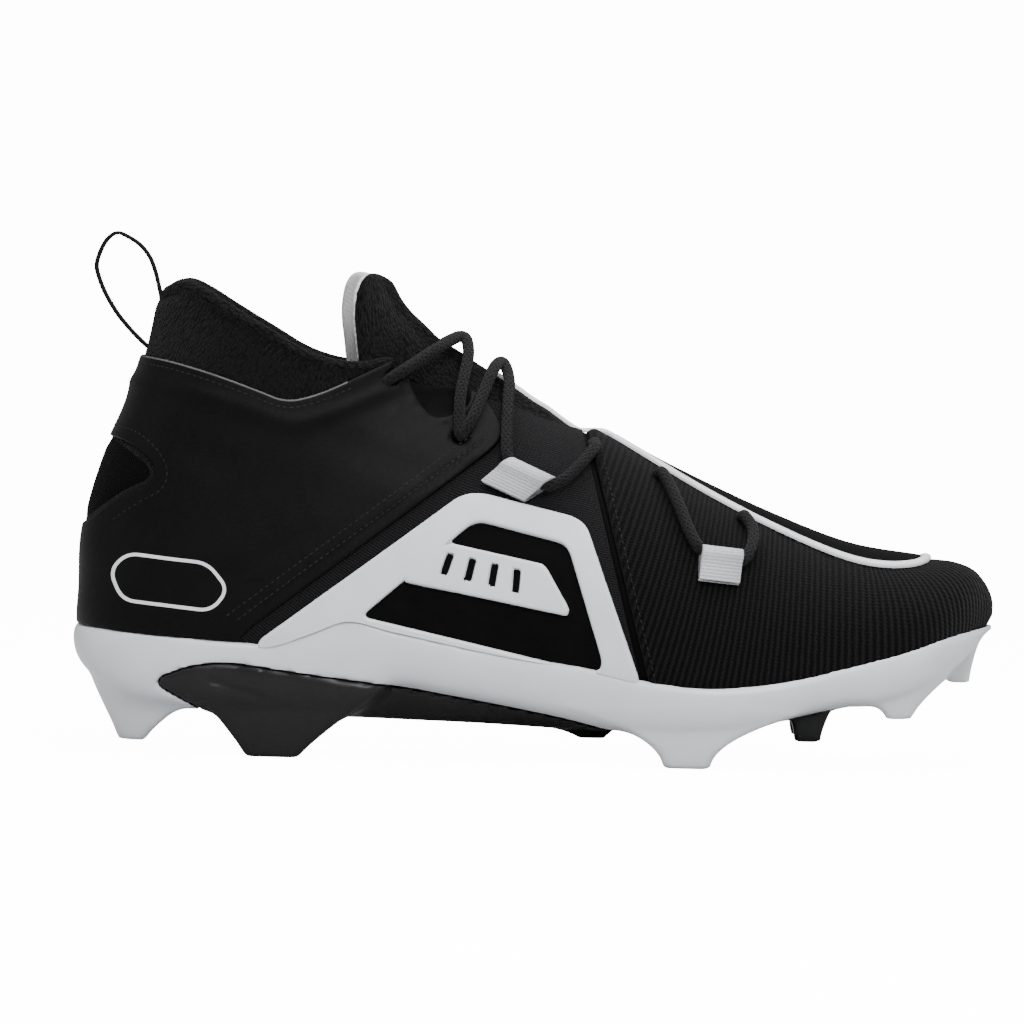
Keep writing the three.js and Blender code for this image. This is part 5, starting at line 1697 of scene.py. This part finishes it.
@dataclass(frozen=True)
class MiddleStud:
    """A stud on or beside the sole's middle line."""

    tip: tuple[float, float]
    base: tuple[float, float]
    reach: float
    root: float
    half: float
    flare: float
    offset: float = 0.0


@dataclass
class Sole:
    """Moulded sole: a pale cup with studs, a dark chassis with the heel studs and a dark forefoot insert."""

    score_line: Outline = ((0.149, 1.8), (0.208, 1.37))
    score_depth: float = 0.8
    plate_bottom: float = 13.0
    wall: float = 1.5
    gap: float = 0.3
    lasting: float = 1.5
    stud_width: float = 10.0
    pitch: float = 1.0
    lip: float = 0.9
    fillet: float = 3.0
    proud: float = 0.35
    wall_foot: Outline = (
        (-0.02, 2.0), (0.0, 1.95), (0.03, 1.6), (0.07, 1.2), (0.14, 1.03), (0.25, 0.98), (0.3, 1.02),
        (0.325, 1.35), (0.35, 1.7), (0.4, 1.56), (0.46, 1.33), (0.527, 1.06), (0.571, 0.84),
        (0.63, 0.74), (0.69, 0.78),
        (0.722, 0.86), (0.745, 1.02), (0.78, 1.22), (0.83, 1.46), (0.865, 1.5), (0.9, 1.72), (0.944, 2.18),
        (0.97, 2.62), (0.99, 3.15), (1.0, 3.3),
    )
    keel_line: Outline = (
        (-0.02, 1.0), (0.2, 0.98), (0.3, 0.88), (0.45, 0.8), (0.55, 0.72), (0.65, 0.72), (0.72, 0.8),
        (0.78, 1.08), (0.83, 1.34), (0.87, 1.52), (0.92, 1.85), (1.0, 2.6),
    )
    # drop as a share of the wall's height, inset in millimetres
    side_profile: Outline = ((-0.6, 0.0), (0.0, 0.0), (0.3, -0.6), (0.64, 0.2), (0.87, 2.6), (1.0, 7.2))
    chassis_outline: Outline = (
        (0.086, 1.77), (0.13, 2.15), (0.153, 2.22), (0.178, 2.22), (0.243, 2.02), (0.353, 1.73),
        (0.462, 1.33),
        (0.528, 1.06), (0.572, 0.83), (0.6, 0.55), (0.612, -0.5), (0.145, -0.5), (0.148, 0.98), (0.115, 1.38),
    )
    ground: float = -0.1
    # start and end along the shoe, half width, and height over the keel in millimetres
    pocket: tuple[float, float, float, float] = (0.762, 0.84, 0.3, 2.2)

    def low_line(self, points: Outline) -> list[tuple[float, float]]:
        """Line of the sole seen from the side, in millimetres."""
        return scaled(points, LAST.length, self.plate_bottom)

    def __post_init__(self) -> None:
        """Works out the sole's lines and its outline from above."""
        self.foot_at = curve_through(self.low_line(self.wall_foot))
        self.keel_at = curve_through(self.low_line(self.keel_line))
        self.profile = curve_through(self.side_profile)
        sides = [self.wall_points(Side.LATERAL), self.wall_points(Side.MEDIAL)[::-1]]
        loop = np.vstack(sides)
        step = np.roll(loop, -1, axis=0) - np.roll(loop, 1, axis=0)
        out = unit(np.stack([step[:, 1], -step[:, 0]], axis=1))
        centre = np.array([LAST.length / 2, 0.0])
        out *= np.sign(np.einsum("ij,ij->i", out, loop[:, :2] - centre))[:, None]
        self.edge = loop[:, :2] + out * (self.gap + self.wall)
        self.heel_stud = Stud((0.189, 0.246), (0.142, 0.315), self.ground, 1.3, (4.5, 1.6), 1.05, 1.15, 4.0)
        self.side_studs = (
            Stud((0.048, 0.079), (0.014, 0.15), 0.2, 1.6, (12, 6), 1.0, 1.3, 5.0),
            Stud((0.639, 0.69), (0.582, 0.748), self.ground, 1.0, (5, 2.2), 1.0, 2.0, 4.0),
            Stud((0.88, 0.908), (0.845, 0.935), 1.17, 1.95, (6.5, 3), 0.85, 1.4, 4.0),
        )
        self.toe_nose = MiddleStud((0.95, 0.974), (0.925, 0.981), 2.0, 2.9, 7, 1.5, 7.0)
        self.shank_nose = MiddleStud((0.548, 0.578), (0.49, 0.6), 0.43, 0.85, 6, 1.5)
        self.front_studs = [
            MiddleStud((0.782, 0.81), (0.772, 0.826), 0.53, 1.6, 5, 1.5, place * LAST.ball_width)
            for place in (0.19, -0.19)
        ]

    @staticmethod
    def wall_points(side: Side) -> Array:
        """Line on the last where the sole's wall ends, from the toe to the heel."""
        top = EDGES.wall_top[side]
        sign = 1 if side is Side.LATERAL else -1

        def over(s: Array, turn: Array) -> Array:
            """Height of the last over the wall's top."""
            p = LAST.point(s, np.mod(sign * turn, 2))
            return p[..., 2] - top(p[..., 0])

        def solve(value: Callable[[Array], Array], low: Array, high: Array) -> Array:
            """Place between low and high where a value changes sign."""
            first = value(low) > 0
            return bisect(lambda place: (value(place) > 0) != first, low, high)

        ends = np.array([[0.01, LAST.HEEL_CURVE - 1.0], [2.0, LAST.HEEL_CURVE + 2.0]])
        ends = solve(lambda s: over(s, np.zeros_like(s)), *ends)
        s = ends[0] + (ends[1] - ends[0]) * (1 - np.cos(math.pi * np.linspace(0, 1, 121)[1:-1])) / 2
        turn = solve(lambda t: over(s, t), np.zeros_like(s), np.full_like(s, 0.95))
        tips = LAST.point(ends, np.zeros(2))
        return np.vstack([tips[:1], LAST.point(s, np.mod(sign * turn, 2)), tips[1:]])

    def stud(self, row: Stud, x: Array, y: Array, z: Array, inset: Array) -> Array:
        """Distance inside a side stud and its fellow on the other side."""
        u = self.share_up(row, z)
        outer = row.inset[0] + (row.inset[1] - row.inset[0]) * u
        width = self.stud_width * row.width * (1 + 0.6 * u)
        return self.standing(row, x, z, 0.85, 2.0, (
            (inset - outer, 2.2),
            (outer + width - inset, 2.2),
            (np.abs(y - self.middle(x)) - row.apart, 2.0),
        ))

    def middle_stud(self, row: MiddleStud, x: Array, y: Array, z: Array) -> Array:
        """Distance inside a middle stud."""
        half = row.half * (1 + 0.5 * self.share_up(row, z))
        return self.standing(row, x, z, 0.9, 1.2, ((half - np.abs(y - row.offset), 1.5),))

    def share_up(self, row: Stud | MiddleStud, z: Array) -> Array:
        """Share of the way from a stud's tip to its root."""
        low, high = row.reach * self.plate_bottom, row.root * self.plate_bottom
        return np.clip((z - low) / (high - low), 0, 1.4)

    def standing(
        self, row: Stud | MiddleStud, x: Array, z: Array, slope: float, soft: float,
        sides: Sequence[tuple[Array, float]],
    ) -> Array:
        """Distance inside a stud that flares towards its root.

        Args:
            row: the stud.
            x: places along the shoe.
            z: heights.
            slope: steepness of its front and back.
            soft: how far the edges between those are rounded.
            sides: distances from its other sides, with how far their edges are rounded.

        Returns:
            The distances.
        """
        flare = self.share_up(row, z) ** row.flare
        start, end = ((a + (b - a) * flare) * LAST.length for a, b in zip(row.tip, row.base))
        f = blend_min((x - start) * slope, (end - x) * slope, soft)
        for side, reach in sides:
            f = blend_min(f, side, reach)
        f = blend_min(f, z - row.reach * self.plate_bottom, 0.9)
        return np.minimum(f, row.root * self.plate_bottom + 4 - z)

    @staticmethod
    def middle(x: Array) -> Array:
        """Middle line of the sole."""
        return LAST.ridge(np.maximum(x, LAST.length / 2)) * smooth(0.3, 0.8, x / LAST.length)

    def lump(self, x: Array, y: Array, z: Array, inset: Array) -> Array:
        """Distance inside wall and plate before studs."""
        side = smooth(-6, 6, y - LAST.ridge(np.maximum(x, 0.5 * LAST.length)))
        top = EDGES.wall_top[Side.LATERAL](x) * (1 - side) + EDGES.wall_top[Side.MEDIAL](x) * side
        foot = np.minimum(self.foot_at(x), top - 2)
        drop = (top - z) / (top - foot)
        walls = inset - self.profile(drop)
        share = smooth(6, 30, inset)
        belly = z - (foot * (1 - share) + np.minimum(self.keel_at(x), foot + 6) * share)
        f = blend_min(walls, belly, self.fillet)
        lip = top - z - self.lip * (1 - np.clip(inset / self.lip, 0, 1)) ** 2
        return blend_min(f, lip, 0.5)

    def hollow(self) -> bpy.types.Object:
        """Solid of the room that the upper takes, for cutting it out of the sole."""
        cutter = bpy.data.meshes.new("room")
        turns = turns_by(3.0)
        sheet = Sheet.over(stations_by(3.0, 0.0, 16.0), turns, closed=True)
        points = LAST.to_frame(sheet.places(self.gap + LAST.skin(sheet.s)))
        lid = tuple(range(len(sheet.s) - len(turns), len(sheet.s)))
        cutter.from_pydata(points.tolist(), [], [*(tuple(map(int, f)) for f in sheet.faces), lid])
        room = linked("room", cutter)
        turn_outward(room)
        x = np.linspace(-0.2 * LAST.length, 1.2 * LAST.length, 161)
        low = np.column_stack([x, LAST.footbed(x) + self.lasting - self.gap])
        top = 4 * LAST.instep_height
        slab = prism_object("over_floor", np.vstack([low, [[x[-1], top], [x[0], top]]]), LAST.ball_width)
        cut(room, slab, "INTERSECT")
        return room

    def build(self) -> None:
        """Makes cup, chassis and insert."""
        half_width = 0.56 * LAST.ball_width
        low = np.array([-6.0, -half_width, -3.3])
        high = (LAST.length + 6.0, half_width, 50.0)
        lines = [np.arange(a, b, self.pitch) for a, b in zip(low, high)]
        x, y, z = np.meshgrid(*lines, indexing="ij", sparse=True)
        flat_x, flat_y = np.broadcast_arrays(x[:, :, 0], y[:, :, 0])
        inset = inside_by(self.edge, flat_x, flat_y)[:, :, None]
        body = self.lump(x, y, z, inset)
        outline = rounded(self.low_line(self.chassis_outline), 7)
        side_x, side_z = np.broadcast_arrays(x[:, 0, :], z[:, 0, :])
        dark = inside_by(outline, side_x, side_z)[:, None, :]
        start, end = self.pocket[0] * LAST.length, self.pocket[1] * LAST.length
        half = self.pocket[2] * LAST.ball_width
        pocket = np.minimum(np.minimum(x - start, end - x), half - np.abs(y))
        pocket = np.minimum(pocket, self.keel_at(x) + self.pocket[3] - z)
        pale = body
        for row in self.side_studs:
            pale = blend_max(pale, self.stud(row, x, y, z, inset), self.fillet)
        pale = blend_max(pale, self.middle_stud(self.toe_nose, x, y, z), 2.0)
        pale = blend_min(pale, -dark - self.gap, 0.5)
        pale = np.minimum(pale, -pocket - self.gap)
        under = body + self.proud
        under = blend_max(under, self.stud(self.heel_stud, x, y, z, inset), self.fillet)
        under = blend_max(under, self.middle_stud(self.shank_nose, x, y, z), 2.0)
        under = blend_min(under, dark, 1.0)
        score = near_line(self.low_line(self.score_line), side_x, side_z)
        under = under - bump_line(score, 0.9, self.score_depth)[:, None, :]
        insert = body
        for row in self.front_studs:
            insert = blend_max(insert, self.middle_stud(row, x, y, z), 1.0)
        insert = np.minimum(insert, pocket)
        room = self.hollow()
        made = (
            ("sole_cup", pale, PALE_MOULDING, "outsole"),
            ("sole_chassis", under, DARK_MOULDING, "chassis"),
            ("forefoot_studs", insert, DARK_MOULDING, "forefoot_insert"),
        )
        for name, values, finish, node in made:
            points, faces = surface_net(values, low, self.pitch)
            piece = mesh_object(name, LAST.to_frame(points), faces, [finish])
            cut(piece, room, "DIFFERENCE")
            soften(piece, 2)
            finish_piece(piece, finish.slot, node)
        bpy.data.objects.remove(room)


def prism_object(name: str, ring: Array, reach: float) -> bpy.types.Object:
    """Prism with an outline seen from the side, as wide as the shoe and more."""
    count = len(ring)
    points = np.vstack([np.insert(ring, 1, y, axis=1) for y in (-reach, reach)])
    faces = [tuple(range(count)), tuple(range(2 * count - 1, count - 1, -1))]
    faces += [(i, i + count, (i + 1) % count + count, (i + 1) % count) for i in range(count)]
    piece = mesh_object(name, LAST.to_frame(points), faces)
    turn_outward(piece)
    return piece


def cut(piece: bpy.types.Object, tool: bpy.types.Object, operation: str) -> None:
    """Cuts a piece with a closed tool and keeps the result as its mesh."""
    modifier = piece.modifiers.new("cut", "BOOLEAN")
    modifier.operation = operation
    modifier.object = tool
    modifier.solver = "MANIFOLD"
    result = baked(piece)
    piece.modifiers.remove(modifier)
    old = piece.data
    piece.data = result
    result.name = piece.name
    bpy.data.meshes.remove(old)
    if operation == "INTERSECT":
        bpy.data.objects.remove(tool)


def soften(piece: bpy.types.Object, rounds: int) -> None:
    """Evens out a moulded surface between its sharp edges."""
    work = bmesh.new()
    work.from_mesh(piece.data)
    sharp = {e for e in work.edges if len(e.link_faces) != 2 or e.calc_face_angle(0) >= SOFT_ANGLE}
    soft = [v for v in work.verts if not sharp.intersection(v.link_edges)]
    axes = dict.fromkeys(("use_axis_x", "use_axis_y", "use_axis_z"), True)
    for _ in range(rounds):
        bmesh.ops.smooth_vert(work, verts=soft, factor=0.5, **axes)
    work.to_mesh(piece.data)
    work.free()
    piece.data.polygons.foreach_set("use_smooth", np.ones(len(piece.data.polygons), bool))
    piece.data.set_sharp_from_angle(angle=math.radians(50))


@dataclass
class Insole:
    """Cloth-covered foam insole on the footbed."""

    thickness: float = 4.5
    lasting: float = 1.5
    clearance: float = 0.7
    columns: int = 29
    rows: int = 121

    def side_at(self, s: Array, sign: int, height: float) -> Array:
        """Points where the upper's inside meets the insole's top, on one side."""

        def place(turn: Array) -> Array:
            """Point on the upper's inside."""
            return LAST.off(s, np.mod(sign * turn, 2), -LAST.wall(s) - self.clearance)

        def over(turn: Array) -> Array:
            """Whether the point is above the insole's top."""
            p = place(turn)
            return p[:, 2] - LAST.footbed(p[:, 0]) > height

        return place(bisect(over, np.zeros_like(s), np.full_like(s, 0.9)))

    def build(self) -> None:
        """Makes the insole."""
        height = self.lasting + self.thickness
        s = np.linspace(0.55, 12.35, self.rows)
        left, right = self.side_at(s, 1, height), self.side_at(s, -1, height)
        v = np.linspace(0, 1, self.columns)[None, :, None]
        across = left[:, None] * (1 - v) + right[:, None] * v
        edge = 1 - np.abs(2 * v[..., 0] - 1)
        dish = 0.85 * smooth(0, 0.5, edge)
        top = across.copy()
        top[..., 2] = LAST.footbed(top[..., 0]) + height - dish - 0.5 * (edge < 1e-6)
        bottom = across.copy()
        bottom[..., 2] = LAST.footbed(bottom[..., 0]) + self.lasting + 0.1
        rings = np.concatenate([top, bottom[:, ::-1]], axis=1)
        piece = tube_object("insole_bed", rings, INSOLE_CLOTH, "insole", sharp=math.radians(50))


def on_side(points: Array, side: int) -> tuple[Array, Array]:
    """Places on the last of points seen from the side.

    Args:
        points: pairs of x and z in millimetres.
        side: -1 on the outer side, 1 on the inner.

    Returns:
        Places along the last and round it.
    """

    def seen(s: Array, t: Array) -> Array:
        """Places of the last seen from the side."""
        return LAST.point(s, t)[:, [0, 2]]

    def area(a: Array, b: Array) -> Array:
        """Signed area between two directions."""
        return a[:, 0] * b[:, 1] - a[:, 1] * b[:, 0]

    stations, turns = np.meshgrid(np.linspace(2, 19, 171), np.linspace(0.02, 0.97, 96), indexing="ij")
    stations, turns = stations.ravel(), facing(turns.ravel(), side)
    gaps = ((seen(stations, turns)[None] - points[:, None]) ** 2).sum(axis=-1)
    s, t = stations[gaps.argmin(axis=1)], turns[gaps.argmin(axis=1)]
    step = 0.01
    for _ in range(6):
        here = seen(s, t)
        by_s, by_t = (seen(s + step, t) - here) / step, (seen(s, t + step) - here) / step
        miss = points - here
        whole = area(by_s, by_t)
        whole = np.where(np.abs(whole) < 1.0, 1e9, whole)
        s = s + np.clip(area(miss, by_t) / whole, -0.2, 0.2)
        t = t + np.clip(area(by_s, miss) / whole, -0.02, 0.02)
    return s, t


@dataclass
class StitchRows:
    """Rows of stitches, made by a node tree that sets one thread loop at each step of a path."""

    spacing: float = 2.2
    length: float = 1.5
    radius: float = 0.22
    seam_inset: float = 2.4
    panel_row: float = 6.9
    # height over the last, and the line seen from the side
    side_rows: Sequence[tuple[float, Outline]] = (
        (1.35, ((0.18, 0.285), (0.25, 0.39), (0.33, 0.507), (0.41, 0.625), (0.44, 0.668))),
        (1.35, ((0.168, 0.292), (0.24, 0.4), (0.32, 0.518), (0.4, 0.637), (0.43, 0.68))),
        (1.35, ((0.04, 0.679), (0.068, 0.667), (0.09, 0.632), (0.1, 0.59), (0.094, 0.552), (0.07, 0.522),
                (0.045, 0.487))),
    )
    cut_inset: float = 0.25
    cut_radius: float = 0.33
    tree: bpy.types.NodeTree | None = None

    def __post_init__(self) -> None:
        """Turns the sizes into metres, by the names of the tree's inputs."""
        self.sizes = {"Spacing": self.spacing * MM, "Length": self.length * MM, "Radius": self.radius * MM}

    def node_tree(self) -> bpy.types.NodeTree:
        """The tree, built at its first use."""
        if self.tree is None:
            self.tree = bpy.data.node_groups.new("stitch_row", "GeometryNodeTree")
            self.tree.is_modifier = True
            self.wire(NodeBoard(self.tree))
        return self.tree

    def wire(self, board: NodeBoard) -> None:
        """Gives the tree its sockets and its nodes."""
        face = board.tree.interface
        face.new_socket(name="Geometry", in_out="INPUT", socket_type="NodeSocketGeometry")
        for key, value in self.sizes.items():
            socket = face.new_socket(name=key, in_out="INPUT", socket_type="NodeSocketFloat")
            socket.default_value = value
        face.new_socket(name="Thread", in_out="INPUT", socket_type="NodeSocketMaterial")
        face.new_socket(name="Geometry", in_out="OUTPUT", socket_type="NodeSocketGeometry")
        given = board.add("NodeGroupInput").outputs

        def result(kind: str, values: dict, **settings: object) -> bpy.types.NodeSocket:
            """First output of a new node."""
            return board.add(kind, values, **settings).outputs[0]

        curve = result("GeometryNodeMeshToCurve", {0: given["Geometry"]})
        steps = {"Curve": curve, "Length": given["Spacing"]}
        half = board.math("MULTIPLY", given["Length"], 0.5)
        along = board.add("GeometryNodeInputTangent").outputs[0]
        stitches = result("GeometryNodeInstanceOnPoints", {
            "Points": result("GeometryNodeResampleCurve", steps, mode="LENGTH"),
            "Instance": result("GeometryNodeMeshIcoSphere", {"Subdivisions": 2, "Radius": 1.0}),
            "Rotation": result("FunctionNodeAlignRotationToVector", {"Vector": along}, axis="Z"),
            "Scale": result("ShaderNodeCombineXYZ", {0: given["Radius"], 1: given["Radius"], 2: half}),
        })
        real = result("GeometryNodeRealizeInstances", {0: stitches})
        dressed = result("GeometryNodeSetMaterial", {"Geometry": real, "Material": given["Thread"]})
        board.add("NodeGroupOutput", {0: dressed})

    def row(self, name: str, path: Array) -> None:
        """Makes one row of stitches, as a plain mesh, along a line in the part's millimetres."""
        mesh = bpy.data.meshes.new(f"{name}_path")
        points = LAST.to_frame(path)
        mesh.from_pydata(points.tolist(), [(i, i + 1) for i in range(len(points) - 1)], [])
        carrier = linked(f"{name}_path", mesh)
        modifier = carrier.modifiers.new("stitches", "NODES")
        modifier.node_group = self.node_tree()
        given = {**self.sizes, "Thread": THREAD.material()}
        for item in modifier.node_group.interface.items_tree:
            if item.item_type == "SOCKET" and item.in_out == "INPUT" and item.name in given:
                modifier[item.identifier] = given[item.name]
        result = baked(carrier)
        bpy.data.objects.remove(carrier)
        result.name = name
        result.polygons.foreach_set("use_smooth", np.ones(len(result.polygons), bool))
        finish_piece(linked(name, result), THREAD.slot)

    def build(self, shell: QuarterShell) -> None:
        """Sews the shell's edges, its patch and the panel's edge, and draws the shell's cut line."""
        around = np.linspace(0, 2 * math.pi, 8, endpoint=False)
        circle = np.stack([0 * around, np.cos(around), np.sin(around)], axis=1) * self.cut_radius
        for side, word in ((-1, "outer"), (1, "inner")):
            self.row(f"collar_seam_{word}", self.along_edge(side, shell, self.seam_inset))
            line = self.along_edge(side, shell, self.cut_inset)
            tube_object(f"shell_cut_line_{word}", line[:, None] + circle, SEAM_EDGE)
            for row, (level, points) in enumerate(self.side_rows):
                s, t = on_side(spline(EDGES.plain_side(points), 90), side)
                raised = level + shell.relief(LAST.point(s, t)) * (level > LAST.vamp_step)
                self.row(f"side_seam_{row}_{word}", LAST.off(s, t, raised))
            t = facing(np.linspace(0.24, 0.88, 90), side)
            lift = np.full(90, LAST.vamp_step + 0.35)
            self.row(f"panel_seam_{word}", LAST.off(np.full(90, self.panel_row), t, lift))

    @staticmethod
    def along_edge(side: int, shell: QuarterShell, inset: float) -> Array:
        """Line inside the shell's top edge on one side, on the shell's outside."""
        t = facing(np.linspace(0.03, 0.7, 220), side)
        s = bisect(
            lambda place: EDGES.within(shell.outline, shell.corner, LAST.point(place, t)) < inset,
            np.full(len(t), 12.5), np.full(len(t), 19.5),
        )
        p = LAST.point(s, t)
        level = shell.gap + shell.thickness * bevelled(np.full(len(t), inset), shell.edge)
        level = level + shell.relief(p) * smooth(0.3, 2.0, inset) - 0.05
        good = (s > 12.6) & (p[:, 0] < 0.36 * LAST.length)
        return LAST.off(s, t, level)[good]


@dataclass
class Studio:
    """Pale floor, soft light and the camera of the photograph, in metres."""

    centre: tuple[float, float, float] = (-0.0085, 0.0, 0.0801)
    picture_width: float = 0.3346
    lens: float = 300.0
    sensor: float = 36.0
    elevation: float = 2.0
    backdrop: float = 14.0
    fill: float = 0.5
    floor_grey: float = 0.5
    floor_glow: float = 13.6
    roll: float = 1.258
    # name, place, size and power
    lights: Sequence[tuple[str, tuple[float, float, float], float, float]] = (
        ("key", (0.2, -1.25, 1.0), 0.6, 27),
        ("top", (0.1, 0.0, 1.5), 1.6, 55),
        ("side", (-1.4, -0.5, 0.6), 0.8, 6),
        ("front", (1.4, -0.9, 0.45), 0.8, 7),
    )

    def build(self) -> None:
        """Makes floor, lights, world and camera."""
        corners = [(-3, -3, 0), (3, -3, 0), (3, 3, 0), (-3, 3, 0)]
        floor = mesh_object("studio_floor", corners, [(0, 1, 2, 3)])
        floor.data.materials.append(self.floor_material())
        world = bpy.data.worlds.new("studio")
        bpy.context.scene.world = world
        world.use_nodes = True
        board = NodeBoard(world.node_tree)
        seen = board.add("ShaderNodeLightPath").outputs["Is Camera Ray"]
        glow = board.math("MULTIPLY_ADD", seen, self.backdrop - self.fill, self.fill)
        board.fill(world.node_tree.nodes["Background"], {"Color": (1, 1, 1, 1), "Strength": glow})
        for row in self.lights:
            self.light(*row)
        self.place_camera()

    def floor_material(self) -> bpy.types.Material:
        """A matt floor that shows near white to the camera and throws little light back."""
        made = bpy.data.materials.new("studio_floor")
        made.use_nodes = True
        board = NodeBoard(made.node_tree)
        seen = board.add("ShaderNodeLightPath").outputs["Is Camera Ray"]
        board.fill(made.node_tree.nodes["Principled BSDF"], {
            "Emission Color": board.mix(seen, (0, 0, 0, 1), (1, 1, 1, 1)),
            "Emission Strength": self.floor_glow,
            "Base Color": (*[self.floor_grey] * 3, 1),
            "Roughness": 0.9,
            "Specular IOR Level": 0.0,
        })
        return made

    def light(self, name: str, place: tuple[float, float, float], size: float, power: float) -> None:
        """Adds a square soft light that faces the shoe."""
        data = bpy.data.lights.new(name, "AREA")
        data.size = size
        data.energy = power
        lamp = linked(name, data)
        lamp.location = place
        way = Vector(self.centre) - Vector(place)
        lamp.rotation_euler = way.to_track_quat("-Z", "Y").to_euler()

    def place_camera(self) -> None:
        """Adds the camera, which looks along +Y from a little above and is rolled as in the photograph."""
        data = bpy.data.cameras.new("camera")
        data.lens = self.lens
        data.sensor_width = self.sensor
        data.clip_end = 50
        camera = linked("camera", data)
        far = self.picture_width * self.lens / self.sensor
        angle = math.radians(self.elevation)
        away = Vector((0, -math.cos(angle), math.sin(angle))) * far
        turn = (-away).to_track_quat("-Z", "Y").to_matrix().to_4x4()
        turn = turn @ Matrix.Rotation(math.radians(self.roll), 4, "Z")
        camera.matrix_world = Matrix.Translation(Vector(self.centre) + away) @ turn
        bpy.context.scene.camera = camera


def main() -> None:
    """Builds the studio and every sub-assembly."""
    logging.basicConfig(level=logging.INFO, format="%(name)s: %(message)s")
    Studio().build()
    shell = QuarterShell()
    for assembly in (Upper(), shell, MidfootBrace(), ToeBand(), Tongue(), Lacing(), Insole(), Sole()):
        assembly.build()
    StitchRows().build(shell)


if __name__ == "__main__":
    main()
